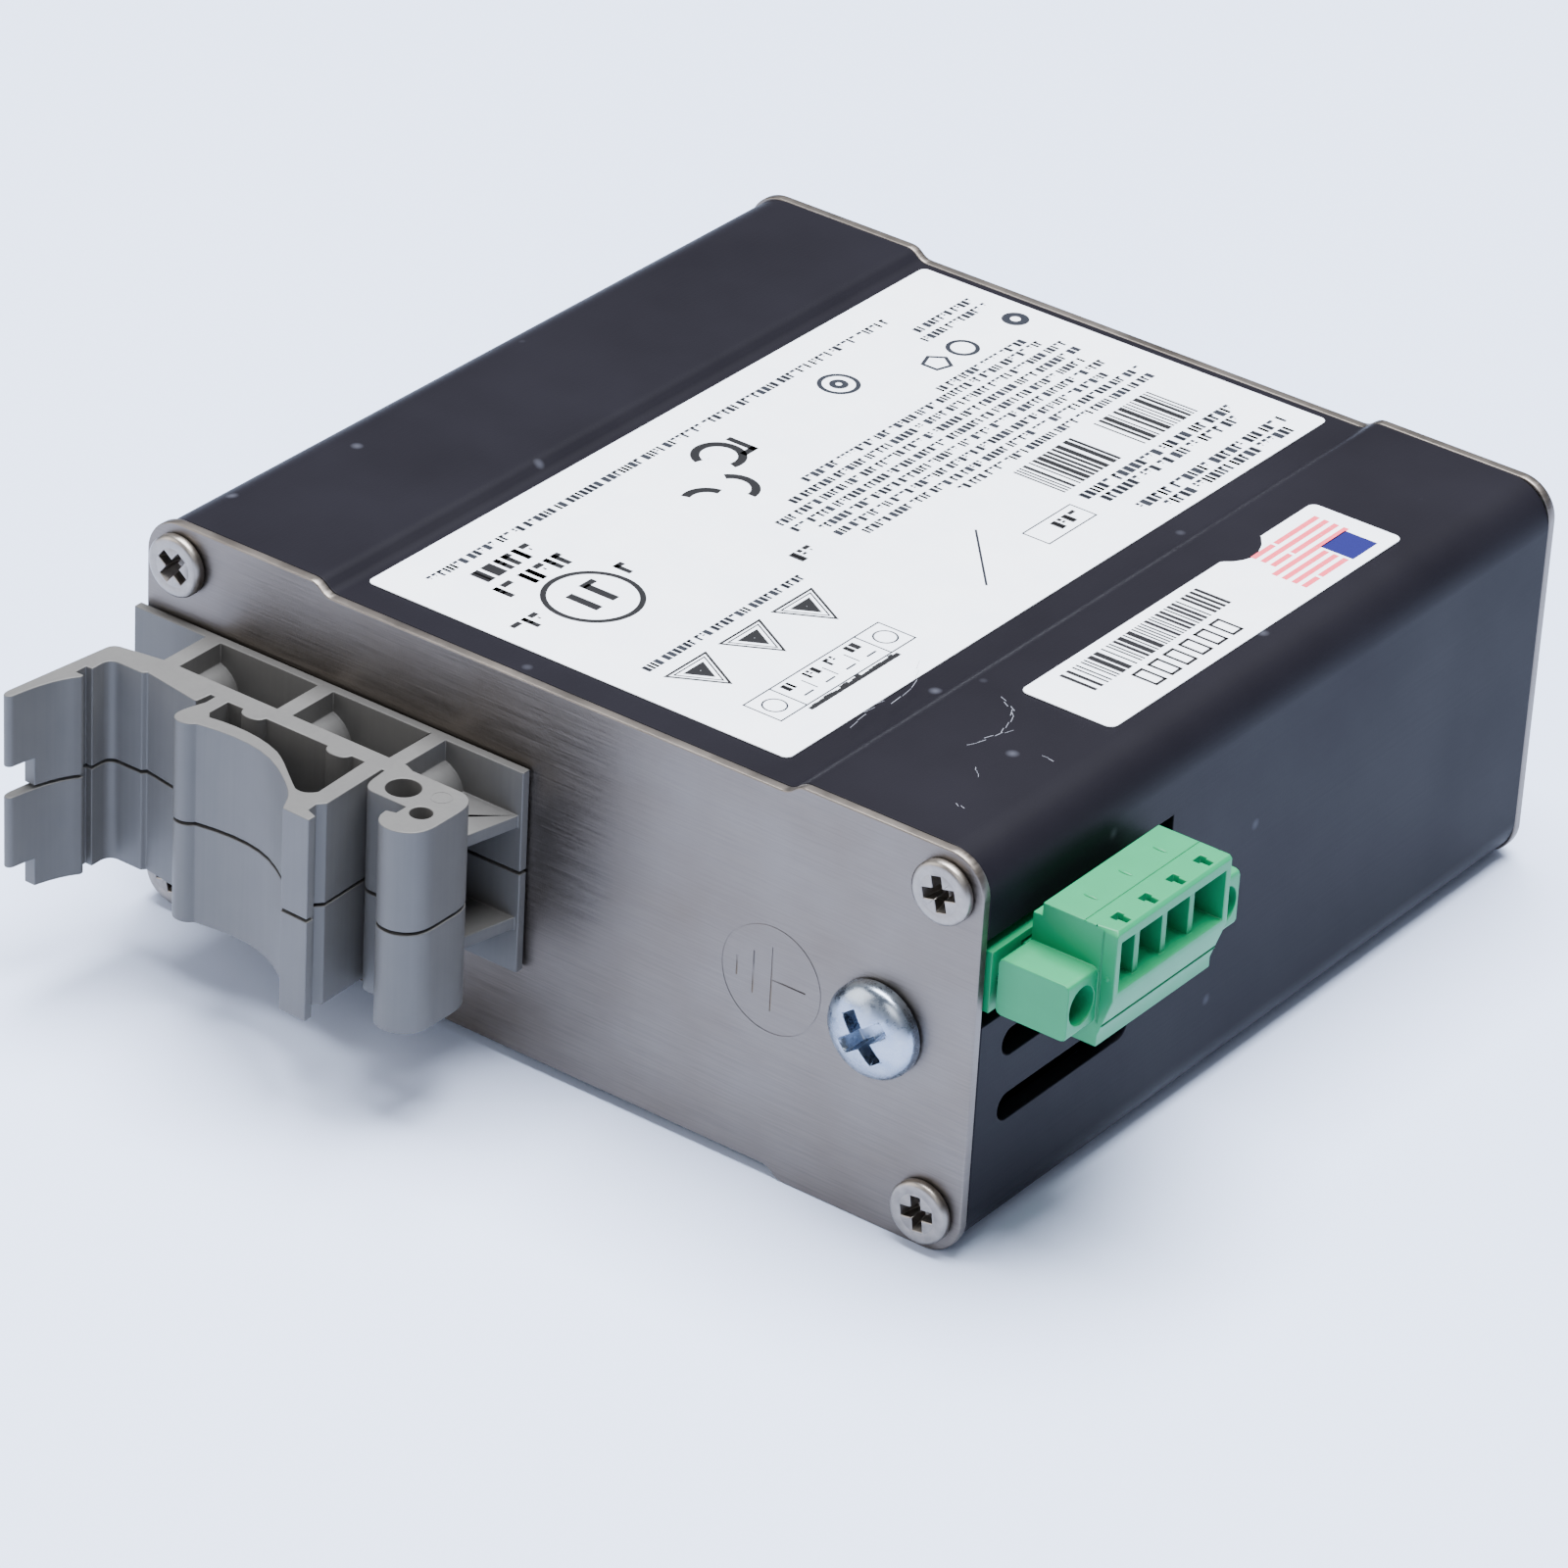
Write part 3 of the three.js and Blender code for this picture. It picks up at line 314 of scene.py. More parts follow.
# %% Moulded polyamides
grey_polyamide, tree, shader = surface("grey_polyamide", "505257", 0.52, ior=1.53)
place = add(tree, "ShaderNodeTexCoord").outputs["Object"]
mould = add(tree, "ShaderNodeMapping", {"Vector": place, "Scale": (2200, 2200, 60)})
drag = add(tree, "ShaderNodeTexNoise", {"Vector": mould.outputs["Vector"], "Scale": 1.0, "Detail": 3.0})
flow = add(tree, "ShaderNodeTexNoise", {"Vector": place, "Scale": 300.0, "Detail": 4.0})
dragged = add(tree, "ShaderNodeMix", {
    0: drag.outputs["Fac"], 6: linear("4b4a49"), 7: linear("545351"),
}, data_type="RGBA")
clouded = add(tree, "ShaderNodeMix", {
    0: flow.outputs["Fac"], 6: linear("e6e6ea"), 7: linear("ffffff"),
}, data_type="RGBA")
toned = add(tree, "ShaderNodeMix", {
    0: 1.0, 6: dragged.outputs[2], 7: clouded.outputs[2],
}, data_type="RGBA", blend_type="MULTIPLY")
tree.links.new(toned.outputs[2], shader.inputs["Base Color"])
bump = add(tree, "ShaderNodeBump", {
    "Height": drag.outputs["Fac"], "Strength": 0.15, "Distance": 0.00003,
})
tree.links.new(bump.outputs["Normal"], shader.inputs["Normal"])

green_polyamide, tree, shader = surface("green_polyamide", "0a7040", 0.48, ior=1.53)
shader.inputs["Specular IOR Level"].default_value = 0.35
shader.inputs["Subsurface Weight"].default_value = 0.08
shader.inputs["Subsurface Scale"].default_value = 0.001
place = add(tree, "ShaderNodeTexCoord").outputs["Object"]
spark = add(tree, "ShaderNodeTexNoise", {"Vector": place, "Scale": 9000.0, "Detail": 1.0})
flow = add(tree, "ShaderNodeTexNoise", {"Vector": place, "Scale": 350.0, "Detail": 4.0})
clouded = add(tree, "ShaderNodeMix", {
    0: flow.outputs["Fac"], 6: linear("00774a"), 7: linear("018152"),
}, data_type="RGBA")
tree.links.new(clouded.outputs[2], shader.inputs["Base Color"])
bump = add(tree, "ShaderNodeBump", {
    "Height": spark.outputs["Fac"], "Strength": 0.3, "Distance": 0.00002,
})
tree.links.new(bump.outputs["Normal"], shader.inputs["Normal"])
print(grey_polyamide.name, "and", green_polyamide.name)

# %% [markdown]
# The label and the sticker are white polyester film under a satin varnish, very slightly uneven
# where the adhesive pulls. Their print is thin ink: near black that is broken by the film's grain,
# and two sticker colours.

# %% Film and inks
white_film, tree, shader = surface("white_polyester_film", "eef2fb", 0.38, ior=1.5)
place = add(tree, "ShaderNodeTexCoord").outputs["Object"]
waves = add(tree, "ShaderNodeTexNoise", {"Vector": place, "Scale": 220.0, "Detail": 3.0})
aged = add(tree, "ShaderNodeMix", {
    0: waves.outputs["Fac"], 6: linear("e6ecf8"), 7: linear("f6f9ff"),
}, data_type="RGBA")
tree.links.new(aged.outputs[2], shader.inputs["Base Color"])
bump = add(tree, "ShaderNodeBump", {
    "Height": waves.outputs["Fac"], "Strength": 0.15, "Distance": 0.00005,
})
tree.links.new(bump.outputs["Normal"], shader.inputs["Normal"])


def ink(name, dark, worn):
    """Printing ink: two close tones, mixed at the 0.2 mm grain of the film."""
    made, tree, shader = surface(name, dark, 0.6, ior=1.5)
    shader.inputs["Specular IOR Level"].default_value = 0.2
    place = add(tree, "ShaderNodeTexCoord").outputs["Object"]
    film_grain = add(tree, "ShaderNodeTexNoise", {"Vector": place, "Scale": 5000.0, "Detail": 2.0})
    broken = add(tree, "ShaderNodeMix", {
        0: film_grain.outputs["Fac"], 6: linear(dark), 7: linear(worn),
    }, data_type="RGBA")
    tree.links.new(broken.outputs[2], shader.inputs["Base Color"])
    return made


black_ink = ink("black_ink", "050507", "0c0c11")
grey_ink = ink("grey_ink", "0e1017", "1d212b")
red_ink = ink("pale_red_ink", "d23a50", "df5c70")
blue_ink = ink("blue_ink", "08084a", "0e0e58")
bare_scratch = ink("bare_metal_scratch", "6d6f7b", "8f919c")
print("materials", len(bpy.data.materials))

# %% [markdown]
# Pieces are shaped in millimetres and turned to metres at the end, so that their numbers read
# like a drawing. Most start from a merged copy of the CAD node, because its edges are exactly
# where they belong, and real sheet and mouldings differ from it by their softened edges.

# %% Mesh helpers
def merged_copy(node):
    """A CAD node as a bmesh in millimetres, with its loose triangles merged into flat faces."""
    bm = bmesh.new()
    bm.from_mesh(nodes[node].data)
    bmesh.ops.scale(bm, vec=(1 / MM,) * 3, verts=bm.verts)
    bmesh.ops.remove_doubles(bm, verts=bm.verts, dist=0.002)
    bmesh.ops.dissolve_limit(bm, angle_limit=math.radians(1), verts=bm.verts, edges=bm.edges)
    return bm


def soften(bm, width, segments=2, angle=35):
    """Rounds every edge that turns by more than the angle."""
    edges = [e for e in bm.edges if len(e.link_faces) == 2 and e.calc_face_angle() > math.radians(angle)]
    bmesh.ops.bevel(
        bm, geom=edges, offset=width, offset_type="OFFSET", segments=segments, profile=0.5,
        affect="EDGES", clamp_overlap=False, material=-1,
    )


def finish_piece(name, bm, material, body, stands_for=(), angle=40):
    """Makes the object, shades it smooth up to the angle, and fixes it to its body."""
    bmesh.ops.scale(bm, vec=(MM,) * 3, verts=bm.verts)
    mesh = bpy.data.meshes.new(name)
    bm.to_mesh(mesh)
    bm.free()
    mesh.shade_smooth()
    mesh.set_sharp_from_angle(angle=math.radians(angle))
    mesh.materials.append(material)
    piece = bpy.data.objects.new(name, mesh)
    bpy.context.scene.collection.objects.link(piece)
    weighted = piece.modifiers.new("weighted_normals", "WEIGHTED_NORMAL")
    weighted.keep_sharp = True
    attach(piece, body)
    if stands_for:
        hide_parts(*stands_for)
    print(name, len(mesh.polygons), "faces")


def carve(bm, knife):
    """Cuts the second shape out of the first and returns the result."""
    pair = []
    for shape in (bm, knife):
        mesh = bpy.data.meshes.new("carving")
        shape.to_mesh(mesh)
        shape.free()
        pair.append(bpy.data.objects.new("carving", mesh))
        bpy.context.scene.collection.objects.link(pair[-1])
    cutting = pair[0].modifiers.new("carve", "BOOLEAN")
    cutting.operation = "DIFFERENCE"
    cutting.solver = "EXACT"
    cutting.object = pair[1]
    bpy.context.view_layer.update()
    result = bmesh.new()
    result.from_mesh(pair[0].evaluated_get(bpy.context.evaluated_depsgraph_get()).to_mesh())
    for obj in pair:
        mesh = obj.data
        bpy.data.objects.remove(obj)
        bpy.data.meshes.remove(mesh)
    return result


def block(start, end):
    """A box between two corners."""
    bm = bmesh.new()
    size = [b - a for a, b in zip(start, end)]
    middle = [(a + b) / 2 for a, b in zip(start, end)]
    bmesh.ops.create_cube(bm, size=1, matrix=Matrix.Translation(middle) @ Matrix.Diagonal((*size, 1)))
    return bm


def turned(profile, steps=48):
    """A profile of (radius, height) points, spun round Z."""
    bm = bmesh.new()
    verts = [bm.verts.new((radius, 0, height)) for radius, height in profile]
    edges = [bm.edges.new(pair) for pair in zip(verts, verts[1:])]
    bmesh.ops.spin(
        bm, geom=verts + edges, cent=(0, 0, 0), axis=(0, 0, 1), angle=2 * math.pi,
        steps=steps, use_merge=True,
    )
    bmesh.ops.remove_doubles(bm, verts=bm.verts, dist=0.0005)
    bmesh.ops.recalc_face_normals(bm, faces=bm.faces)
    return bm


sample = merged_copy("cover_extrusion")
triangles = len(nodes["cover_extrusion"].data.polygons)
print("cover:", triangles, "triangles merge into", len(sample.faces), "faces")
sample.free()

# %% [markdown]
# The cover is one extrusion, sawn to length. Sawing and tumbling round its ends and the vent
# slots by about 0.15 mm, which is what draws a thin light line round each opening.

# %% Cover
bm = merged_copy("cover_extrusion")
soften(bm, 0.12)
finish_piece("cover_shell", bm, black_anodised, "case", ["cover_extrusion"])

# %% [markdown]
# The end plates are laser-cut sheet, deburred, so their rims carry a bright 0.2 mm round. The
# protective earth mark beside the ground screw is engraved: a ring and four strokes, 0.16 mm wide
# and 0.05 mm deep, cut here with a thin ring and bars.

# %% End plates
def ring_prism(radius, width, low_z, high_z, segments=64):
    """A flat ring with a height, round the origin."""
    bm = bmesh.new()
    radii = (radius - width / 2, radius + width / 2)
    circles = [bmesh.ops.create_circle(bm, segments=segments, radius=r)["verts"] for r in radii]
    edges = list({e for circle in circles for v in circle for e in v.link_edges})
    faces = bmesh.ops.bridge_loops(bm, edges=edges)["faces"]
    bmesh.ops.translate(bm, vec=(0, 0, low_z), verts=[v for circle in circles for v in circle])
    raised = bmesh.ops.extrude_face_region(bm, geom=faces)["geom"]
    lifted = [v for v in raised if isinstance(v, bmesh.types.BMVert)]
    bmesh.ops.translate(bm, vec=(0, 0, high_z - low_z), verts=lifted)
    bmesh.ops.recalc_face_normals(bm, faces=bm.faces)
    return bm


rim_round = 0.16
mark_x, mark_radius, mark_stroke, mark_depth = 24.0, 5.1, 0.16, 0.05
mark_strokes = ((0.07, 3.5, 0.08), (-0.08, 0.08, 3.1), (-1.98, -1.82, 2.05), (-3.68, -3.52, 0.95))
plate = merged_copy("rear_plate")
soften(plate, rim_round)
knife = ring_prism(mark_radius, mark_stroke, -mark_depth, 0.5)
mark_place = Matrix.Translation((mark_x, 0, 0)) @ Matrix.Rotation(math.radians(90), 4, "X")
bmesh.ops.transform(knife, matrix=mark_place, verts=knife.verts)
plate = carve(plate, knife)
for x0, x1, half_height in mark_strokes:
    plate = carve(plate, block((mark_x + x0, -0.5, -half_height), (mark_x + x1, mark_depth, half_height)))
finish_piece("rear_end_plate", plate, brushed_stainless, "case", ["rear_plate"])
bm = merged_copy("front_plate")
soften(bm, rim_round)
finish_piece("front_end_plate", bm, brushed_stainless, "case", ["front_plate"])

# %% [markdown]
# A case screw has a flat disc head with a bevelled rim, a shallow turned ring and a deep cross
# recess that narrows downwards, so it looks dark. A lathe profile is spun for each, two tapered
# bars cut the cross, and each of the eight is stopped at its own angle, as screws are.

# %% Case screws
def cross_bar(span, width, top, floor, taper):
    """A bar across the axis that narrows towards the bottom of a screw recess."""
    bm = block((-span / 2, -width / 2, floor), (span / 2, width / 2, top))
    bottom = [v for v in bm.verts if v.co.z < (top + floor) / 2]
    bmesh.ops.scale(bm, vec=(taper, 0.75, 1), verts=bottom)
    return bm


head_height = 1.0
case_profile = [
    (0, -9.0), (1.2, -9.0), (1.5, -8.7), (1.5, 0), (2.75, 0), (2.9, 0.12), (2.9, 0.62),
    (2.84, 0.78), (2.66, 0.93), (2.45, 0.98), (1.9, 0.98), (1.84, 0.95), (1.78, 0.98), (0, 0.98),
]


def case_screw(name, axis_turn, seat, spin, cad_node):
    """One screw with its head on the seat, stopped at the given angle."""
    bm = turned(case_profile)
    for quarter in (0, 90):
        bar = cross_bar(span=3.5, width=1.05, top=1.4, floor=-0.9, taper=0.6)
        bmesh.ops.rotate(bar, matrix=Matrix.Rotation(math.radians(quarter), 3, "Z"), verts=bar.verts)
        bm = carve(bm, bar)
    soften(bm, 0.05, 1, 50)
    place = Matrix.Translation(seat) @ axis_turn @ Matrix.Rotation(math.radians(spin), 4, "Z")
    bmesh.ops.transform(bm, matrix=place, verts=bm.verts)
    finish_piece(name, bm, turned_stainless, "case", [cad_node])


backwards = Matrix.Rotation(math.radians(90), 4, "X")
forwards = Matrix.Rotation(math.radians(-90), 4, "X")
for side, axis_turn in (("rear", backwards), ("front", forwards)):
    for number, spin in zip(range(1, 5), (12, 8, 14, 52)):
        node = f"{side}_screw_{number}"
        start, end = corners(node)
        seat_y = start.y + head_height if side == "rear" else end.y - head_height
        middle = (start + end) / 2
        case_screw(f"{side}_case_screw_{number}", axis_turn, (middle.x, seat_y, middle.z), spin, node)

# %% [markdown]
# The ground screw is a domed machine screw with a combined recess: a cross and one longer slot,
# both with soft lips, and it is zinc plated where the case screws are bare.

# %% Ground screw
head_radius, rim_height, dome_height, shank_length = 4.4, 0.75, 1.83, 7.5
slot_turn = 38
dome = [
    (head_radius * math.cos(math.radians(a)), rim_height + dome_height * math.sin(math.radians(a)))
    for a in range(0, 90, 9)
]
shank = [(0, -shank_length), (1.6, -shank_length), (2.0, -7.1), (2.0, 0)]
bm = turned(shank + [(4.25, 0), (head_radius, 0.15)] + dome + [(0, 2.58)], 64)
for quarter, span, width, floor in ((0, 5.8, 1.5, 0.3), (90, 5.8, 1.5, 0.3), (0, 6.8, 1.15, 1.35)):
    bar = cross_bar(span, width, 3.4, floor, 0.6)
    about_axis = Matrix.Rotation(math.radians(quarter + slot_turn), 3, "Z")
    bmesh.ops.rotate(bar, matrix=about_axis, verts=bar.verts)
    bm = carve(bm, bar)
soften(bm, 0.08, 2, 45)
start, end = corners("ground_screw")
middle = (start + end) / 2
place = Matrix.Translation((middle.x, end.y - shank_length, middle.z)) @ backwards
bmesh.ops.transform(bm, matrix=place, verts=bm.verts)
finish_piece("ground_screw_zinc", bm, blue_zinc, "ground_screw_body", ["ground_screw"])

# %% [markdown]
# The rail clip is two equal nylon mouldings side by side. Their profile is exact in the CAD
# copy, and a mould leaves no edge sharper than about 0.1 mm, so every edge gets that. An ejector
# pin leaves a thin raised ring on the loop, and a ring is simply added to the mesh, because
# cutting it into a face that has holes and softened edges spoils that face's shading.

# %% Rail clip
clip_round = 0.1
ring_radius, ring_line, ring_rise = 0.9, 0.12, 0.025
for half in ("upper", "lower"):
    bm = merged_copy(f"din_clip_{half}")
    soften(bm, clip_round)
    bmesh.ops.dissolve_degenerate(bm, dist=0.004, edges=bm.edges)
    top = corners(f"din_clip_{half}")[1].z
    ring = ring_prism(ring_radius, ring_line, top - 0.05, top + ring_rise, 32)
    bmesh.ops.translate(ring, vec=(case_left + 40.1, -8.85, 0), verts=ring.verts)
    ring_mesh = bpy.data.meshes.new("ejector_ring")
    ring.to_mesh(ring_mesh)
    ring.free()
    bm.from_mesh(ring_mesh)
    bpy.data.meshes.remove(ring_mesh)
    finish_piece(f"rail_clip_{half}", bm, grey_polyamide, "case", [f"din_clip_{half}"], 50)

# %% [markdown]
# The plug is the moulding people handle. Beyond the CAD shape it has a parting line along its
# top, a second one down each end wall with a raised ejector spot, a groove above its lower lip,
# a chip knocked off its near top corner, and three small raised keys over the wires' clamps. The
# lines and the chip are cut with blocks, and the keys are flattened spheres set on the top.

# %% Plug and sockets
plug_low, plug_high = corners("plug_housing")
front_x = plug_high.x
top_z = plug_high.z
flange = 4.1
body_start, body_end = plug_low.y + flange, plug_high.y - flange
before, after = body_start - 1, body_end + 1
bm = merged_copy("plug_housing")
for knife in (
    block((front_x - 3.35, before, top_z - 0.04), (front_x - 3.29, after, top_z + 1)),
    block((front_x - 1.42, before, top_z - 9), (front_x - 1.34, body_start + 0.06, top_z + 1)),
    block((front_x - 1.42, body_end - 0.06, top_z - 9), (front_x - 1.34, after, top_z + 1)),
    block((front_x - 0.95, before, top_z - 9.25), (front_x + 1, after, top_z - 9.1)),
):
    bm = carve(bm, knife)
chip = block((-2.1, -0.32, -0.32), (0.6, 0.32, 0.32))
corner = Matrix.Translation((front_x, body_start, top_z))
tilt = Matrix.Rotation(math.radians(9), 4, "Y") @ Matrix.Rotation(math.radians(45), 4, "X")
bmesh.ops.transform(chip, matrix=corner @ tilt, verts=chip.verts)
bm = carve(bm, chip)
soften(bm, 0.1, 2, 40)
finish_piece("plug_moulding", bm, green_polyamide, "input_plug", ["plug_housing"], 50)

keys = bmesh.new()
for share in (0.2, 0.5, 0.8):
    y = body_start + share * (body_end - body_start)
    made = bmesh.ops.create_uvsphere(keys, u_segments=20, v_segments=10, radius=1)["verts"]
    place = Matrix.Translation((front_x - 5.0, y, top_z - 0.02)) @ Matrix.Diagonal((0.75, 0.2, 0.16, 1))
    bmesh.ops.transform(keys, matrix=place, verts=made)
for y in (body_start, body_end):
    made = bmesh.ops.create_uvsphere(keys, u_segments=16, v_segments=8, radius=1)["verts"]
    place = Matrix.Translation((front_x - 0.75, y, top_z - 4.6)) @ Matrix.Diagonal((0.24, 0.05, 0.24, 1))
    bmesh.ops.transform(keys, matrix=place, verts=made)
finish_piece("plug_moulded_keys", keys, green_polyamide, "input_plug")
for side in ("input", "output"):
    bm = merged_copy(f"{side}_header")
    soften(bm, 0.08, 1)
    finish_piece(f"{side}_socket", bm, green_polyamide, "case", [f"{side}_header"], 50)

# %% [markdown]
# The label and the sticker are die-cut films with round corners. Each is lowered by a few
# thousandths of a millimetre, so that the print on top of it stays inside the CAD model.

# %% Label film
sink = 0.009
print_rise = 0.007
film_edge = 0.03
for node in ("rating_label", "asset_sticker"):
    bm = merged_copy(node)
    bmesh.ops.translate(bm, vec=(0, 0, -sink), verts=bm.verts)
    soften(bm, film_edge, 1)
    finish_piece(f"{node}_film", bm, white_film, "case", [node])
label_top = corners("rating_label")[1].z - sink + print_rise
sticker_top = corners("asset_sticker")[1].z - sink + print_rise

# %% [markdown]
# Print is built from flat shapes just above the film, and not from an image, because flat shapes
# stay sharp from close by. Rows of small strokes stand for the text, so nothing can be read, and
# the marks are plain rings, triangles and boxes. Reading runs along -Y.

# %% Printing helpers
def patch(bm, x0, y0, x1, y1, z, turn=0):
    """A filled rectangle of ink, measured from the case's -X side and the rear plate."""
    middle = (case_left + (x0 + x1) / 2, (y0 + y1) / 2, z)
    size = Matrix.Diagonal((abs(x1 - x0), abs(y1 - y0), 1, 1))
    spot = Matrix.Translation(middle) @ Matrix.Rotation(math.radians(turn), 4, "Z") @ size
    bmesh.ops.create_grid(bm, x_segments=1, y_segments=1, size=0.5, matrix=spot)


def hoop(bm, x, y, outer, inner, z, segments=48, turn=0):
    """A ring of ink, or a triangle or square when it has 3 or 4 segments."""
    spot = Matrix.Translation((case_left + x, y, z)) @ Matrix.Rotation(math.radians(turn), 4, "Z")
    loops = []
    for radius in (inner, outer):
        loops.append(bmesh.ops.create_circle(bm, segments=segments, radius=radius, matrix=spot)["verts"])
    edges = list({e for loop in loops for v in loop for e in v.link_edges})
    bmesh.ops.bridge_loops(bm, edges=edges)


def frame_box(bm, x0, y0, x1, y1, line, z):
    """A hollow rectangle."""
    patch(bm, x0, y0, x0 + line, y1, z)
    patch(bm, x1 - line, y0, x1, y1, z)
    patch(bm, x0, y0, x1, y0 + line, z)
    patch(bm, x0, y1 - line, x1, y1, z)


def bars(bm, x0, x1, y0, y1, z, chance):
    """A code of bars across X whose widths come from a seeded chance."""
    y = y0
    while y < y1:
        width = chance.choice((0.22, 0.22, 0.42, 0.66))
        patch(bm, x0, y, x1, min(y + width, y1), z)
        y += width + chance.choice((0.22, 0.3, 0.5))


def dummy_text(bm, x, y0, y1, height, z, chance):
    """A row of strokes the size of letters, in words, that spells nothing."""
    y = y0
    stroke = 0.3 * height
    while y < y1:
        for _ in range(chance.randint(2, 8)):
            wide = chance.choice((0.3, 0.5, 0.5, 0.6)) * height
            if y + wide > y1:
                break
            form = chance.randint(0, 3)
            if form != 1:
                patch(bm, x, y, x + height, y + stroke, z)
            if form in (0, 2):
                patch(bm, x, y + wide - stroke, x + height, y + wide, z)
            if form != 2:
                patch(bm, x + height * 0.42, y + stroke, x + height * 0.6, y + wide - stroke, z)
            if form in (1, 3):
                patch(bm, x, y, x + stroke, y + wide, z)
            y += wide + 0.18 * height
        y += 0.35 * height


def finish_print(name, bm, material):
    """Turns every flat shape to face up and makes the piece."""
    bmesh.ops.recalc_face_normals(bm, faces=bm.faces)
    down = [f for f in bm.faces if f.normal.z < 0]
    bmesh.ops.reverse_faces(bm, faces=down)
    finish_piece(name, bm, material, "case")


print("print lies", round(label_top, 3), "and", round(sticker_top, 3), "mm above the frame's middle")

# %% [markdown]
# The label holds a ring mark with bars, half-ring marks, five small ring marks, three triangles
# over the wiring diagram, two bar codes, and rows of text along its edges and across its middle.
# Heavy print and fine print are two pieces, because thin lettering looks greyer than bold.

# %% Label print
chance = random.Random(11)
bold = bmesh.new()
fine = bmesh.new()
z = label_top
hoop(bold, 37.0, 15.0, 4.55, 4.0, z)
patch(bold, 35.3, 15.6, 38.7, 16.5, z)
patch(bold, 35.3, 13.3, 38.7, 14.2, z)
patch(bold, 34.9, 15.6, 35.6, 17.4, z)
dummy_text(bold, 34.9, 20.3, 22.0, 1.9, z, chance)
dummy_text(bold, 34.9, 6.2, 9.6, 1.9, z, chance)
dummy_text(bold, 29.8, 10.2, 20.0, 2.1, z, chance)
dummy_text(bold, 26.7, 11.0, 18.9, 2.1, z, chance)
for x, y in ((33.9, 35.2), (33.9, 38.6), (29.4, 42.6)):
    arc_start = len(bold.faces)
    hoop(bold, x, y, 2.55, 1.7, z, 40)
    bold.faces.ensure_lookup_table()
    gone = [f for f in bold.faces[arc_start:] if f.calc_center_median().y < y - 0.5]
    bmesh.ops.delete(bold, geom=gone, context="FACES")
patch(bold, 28.0, 45.4, 31.2, 46.1, z)
patch(bold, 30.5, 44.2, 31.2, 46.1, z)
hoop(fine, 29.1, 60.8, 2.0, 1.55, z)
hoop(fine, 29.1, 60.8, 0.9, 0.3, z, 24)
hoop(fine, 33.2, 70.2, 1.6, 1.15, z, 5)
hoop(fine, 33.2, 74.2, 1.6, 1.15, z, 24)
hoop(fine, 33.4, 82.2, 1.3, 0.5, z, 24)
for y in (11.0, 18.5, 25.9):
    hoop(bold, 51.6, y, 3.4, 2.9, z, 3, -90)
    hoop(bold, 51.6, y, 2.55, 2.25, z, 3, -90)
    hoop(bold, 51.6, y, 1.6, 0.05, z, 3, -90)
frame_box(fine, 57.7, 8.7, 61.8, 27.8, 0.16, z)
for y in (12.3, 24.2):
    patch(fine, 57.7, y, 61.8, y + 0.16, z)
for y in (15.3, 18.2, 21.2):
    patch(fine, 58.9, y, 60.6, y + 0.14, z)
for y in (10.5, 26.1):
    hoop(fine, 59.75, y, 1.15, 0.98, z, 28)
for y in (13.2, 16.2, 19.1, 22.0):
    dummy_text(bold, 58.2, y, y + 1.9, 1.1, z, chance)
    patch(fine, 60.5, y + 0.3, 60.7, y + 1.6, z)
for step in range(22):
    y = 12.0 + step * 0.57
    reach = chance.uniform(-0.12, 0.32)
    patch(bold, 62.1 - abs(reach), y, 62.55, y + 0.6, z, chance.uniform(-4, 4))
dummy_text(fine, 24.3, 8.0, 74.0, 1.0, z, chance)
dummy_text(fine, 47.6, 8.0, 30.0, 0.95, z, chance)
dummy_text(bold, 45.0, 32.0, 35.2, 1.6, z, chance)
text_rows = (
    (37.3, 44, 80), (38.9, 40, 82), (40.5, 36, 82), (42.1, 36, 80), (43.7, 38, 81), (45.3, 38, 79),
    (46.9, 40, 82), (48.5, 52, 82), (27.6, 74, 83), (29.2, 73, 83), (36.0, 66, 80),
)
for x, y0, y1 in text_rows:
    dummy_text(fine, x, y0, y1, 0.95, z, chance)
bars(bold, 50.6, 56.2, 57.6, 66.4, z, chance)
bars(bold, 50.6, 56.2, 70.0, 78.5, z, chance)
for x, y0, y1 in ((57.3, 58, 82), (58.9, 59, 80), (62.0, 60, 83), (63.6, 62, 82)):
    dummy_text(fine, x, y0, y1, 1.2, z, chance)
frame_box(fine, 57.7, 48.9, 60.7, 56.2, 0.16, z)
dummy_text(bold, 58.5, 52.0, 55.8, 1.4, z, chance)
finish_print("label_bold_print", bold, black_ink)
finish_print("label_fine_print", fine, grey_ink)
bm = bmesh.new()
patch(bm, 57.5, 38.0, 57.72, 48.0, z, 41)
finish_print("label_pen_stroke", bm, grey_ink)

# %% [markdown]
# The sticker carries a bar code, six plain hollow blocks in place of its number, and a patch of
# pale stripes with a blue corner. The stripes are worn through in a few places.

# %% Sticker print
chance = random.Random(5)
z = sticker_top
bm = bmesh.new()
bars(bm, 75.6, 79.3, 29.0, 49.5, z, chance)
for number in range(6):
    y = 33.2 + number * 2.3
    frame_box(bm, 80.0, y, 82.7, y + 1.6, 0.3, z)
finish_print("sticker_black_print", bm, black_ink)
bm = bmesh.new()
for number in range(7):
    x = 76.0 + number * 1.02
    y0 = 57.2 if number < 3 else 55.9
    y1 = 67.3 if number < 4 else 62.6
    y = y0
    while y < y1 - 0.2:
        length = min(chance.uniform(1.5, 5.0), y1 - y)
        patch(bm, x, y, x + 0.56, y + length, z)
        y += length + chance.choice((0.02, 0.02, 0.35))
finish_print("sticker_red_print", bm, red_ink)
bm = bmesh.new()
patch(bm, 79.5, 62.9, 82.9, 66.8, z)
finish_print("sticker_blue_print", bm, blue_ink)

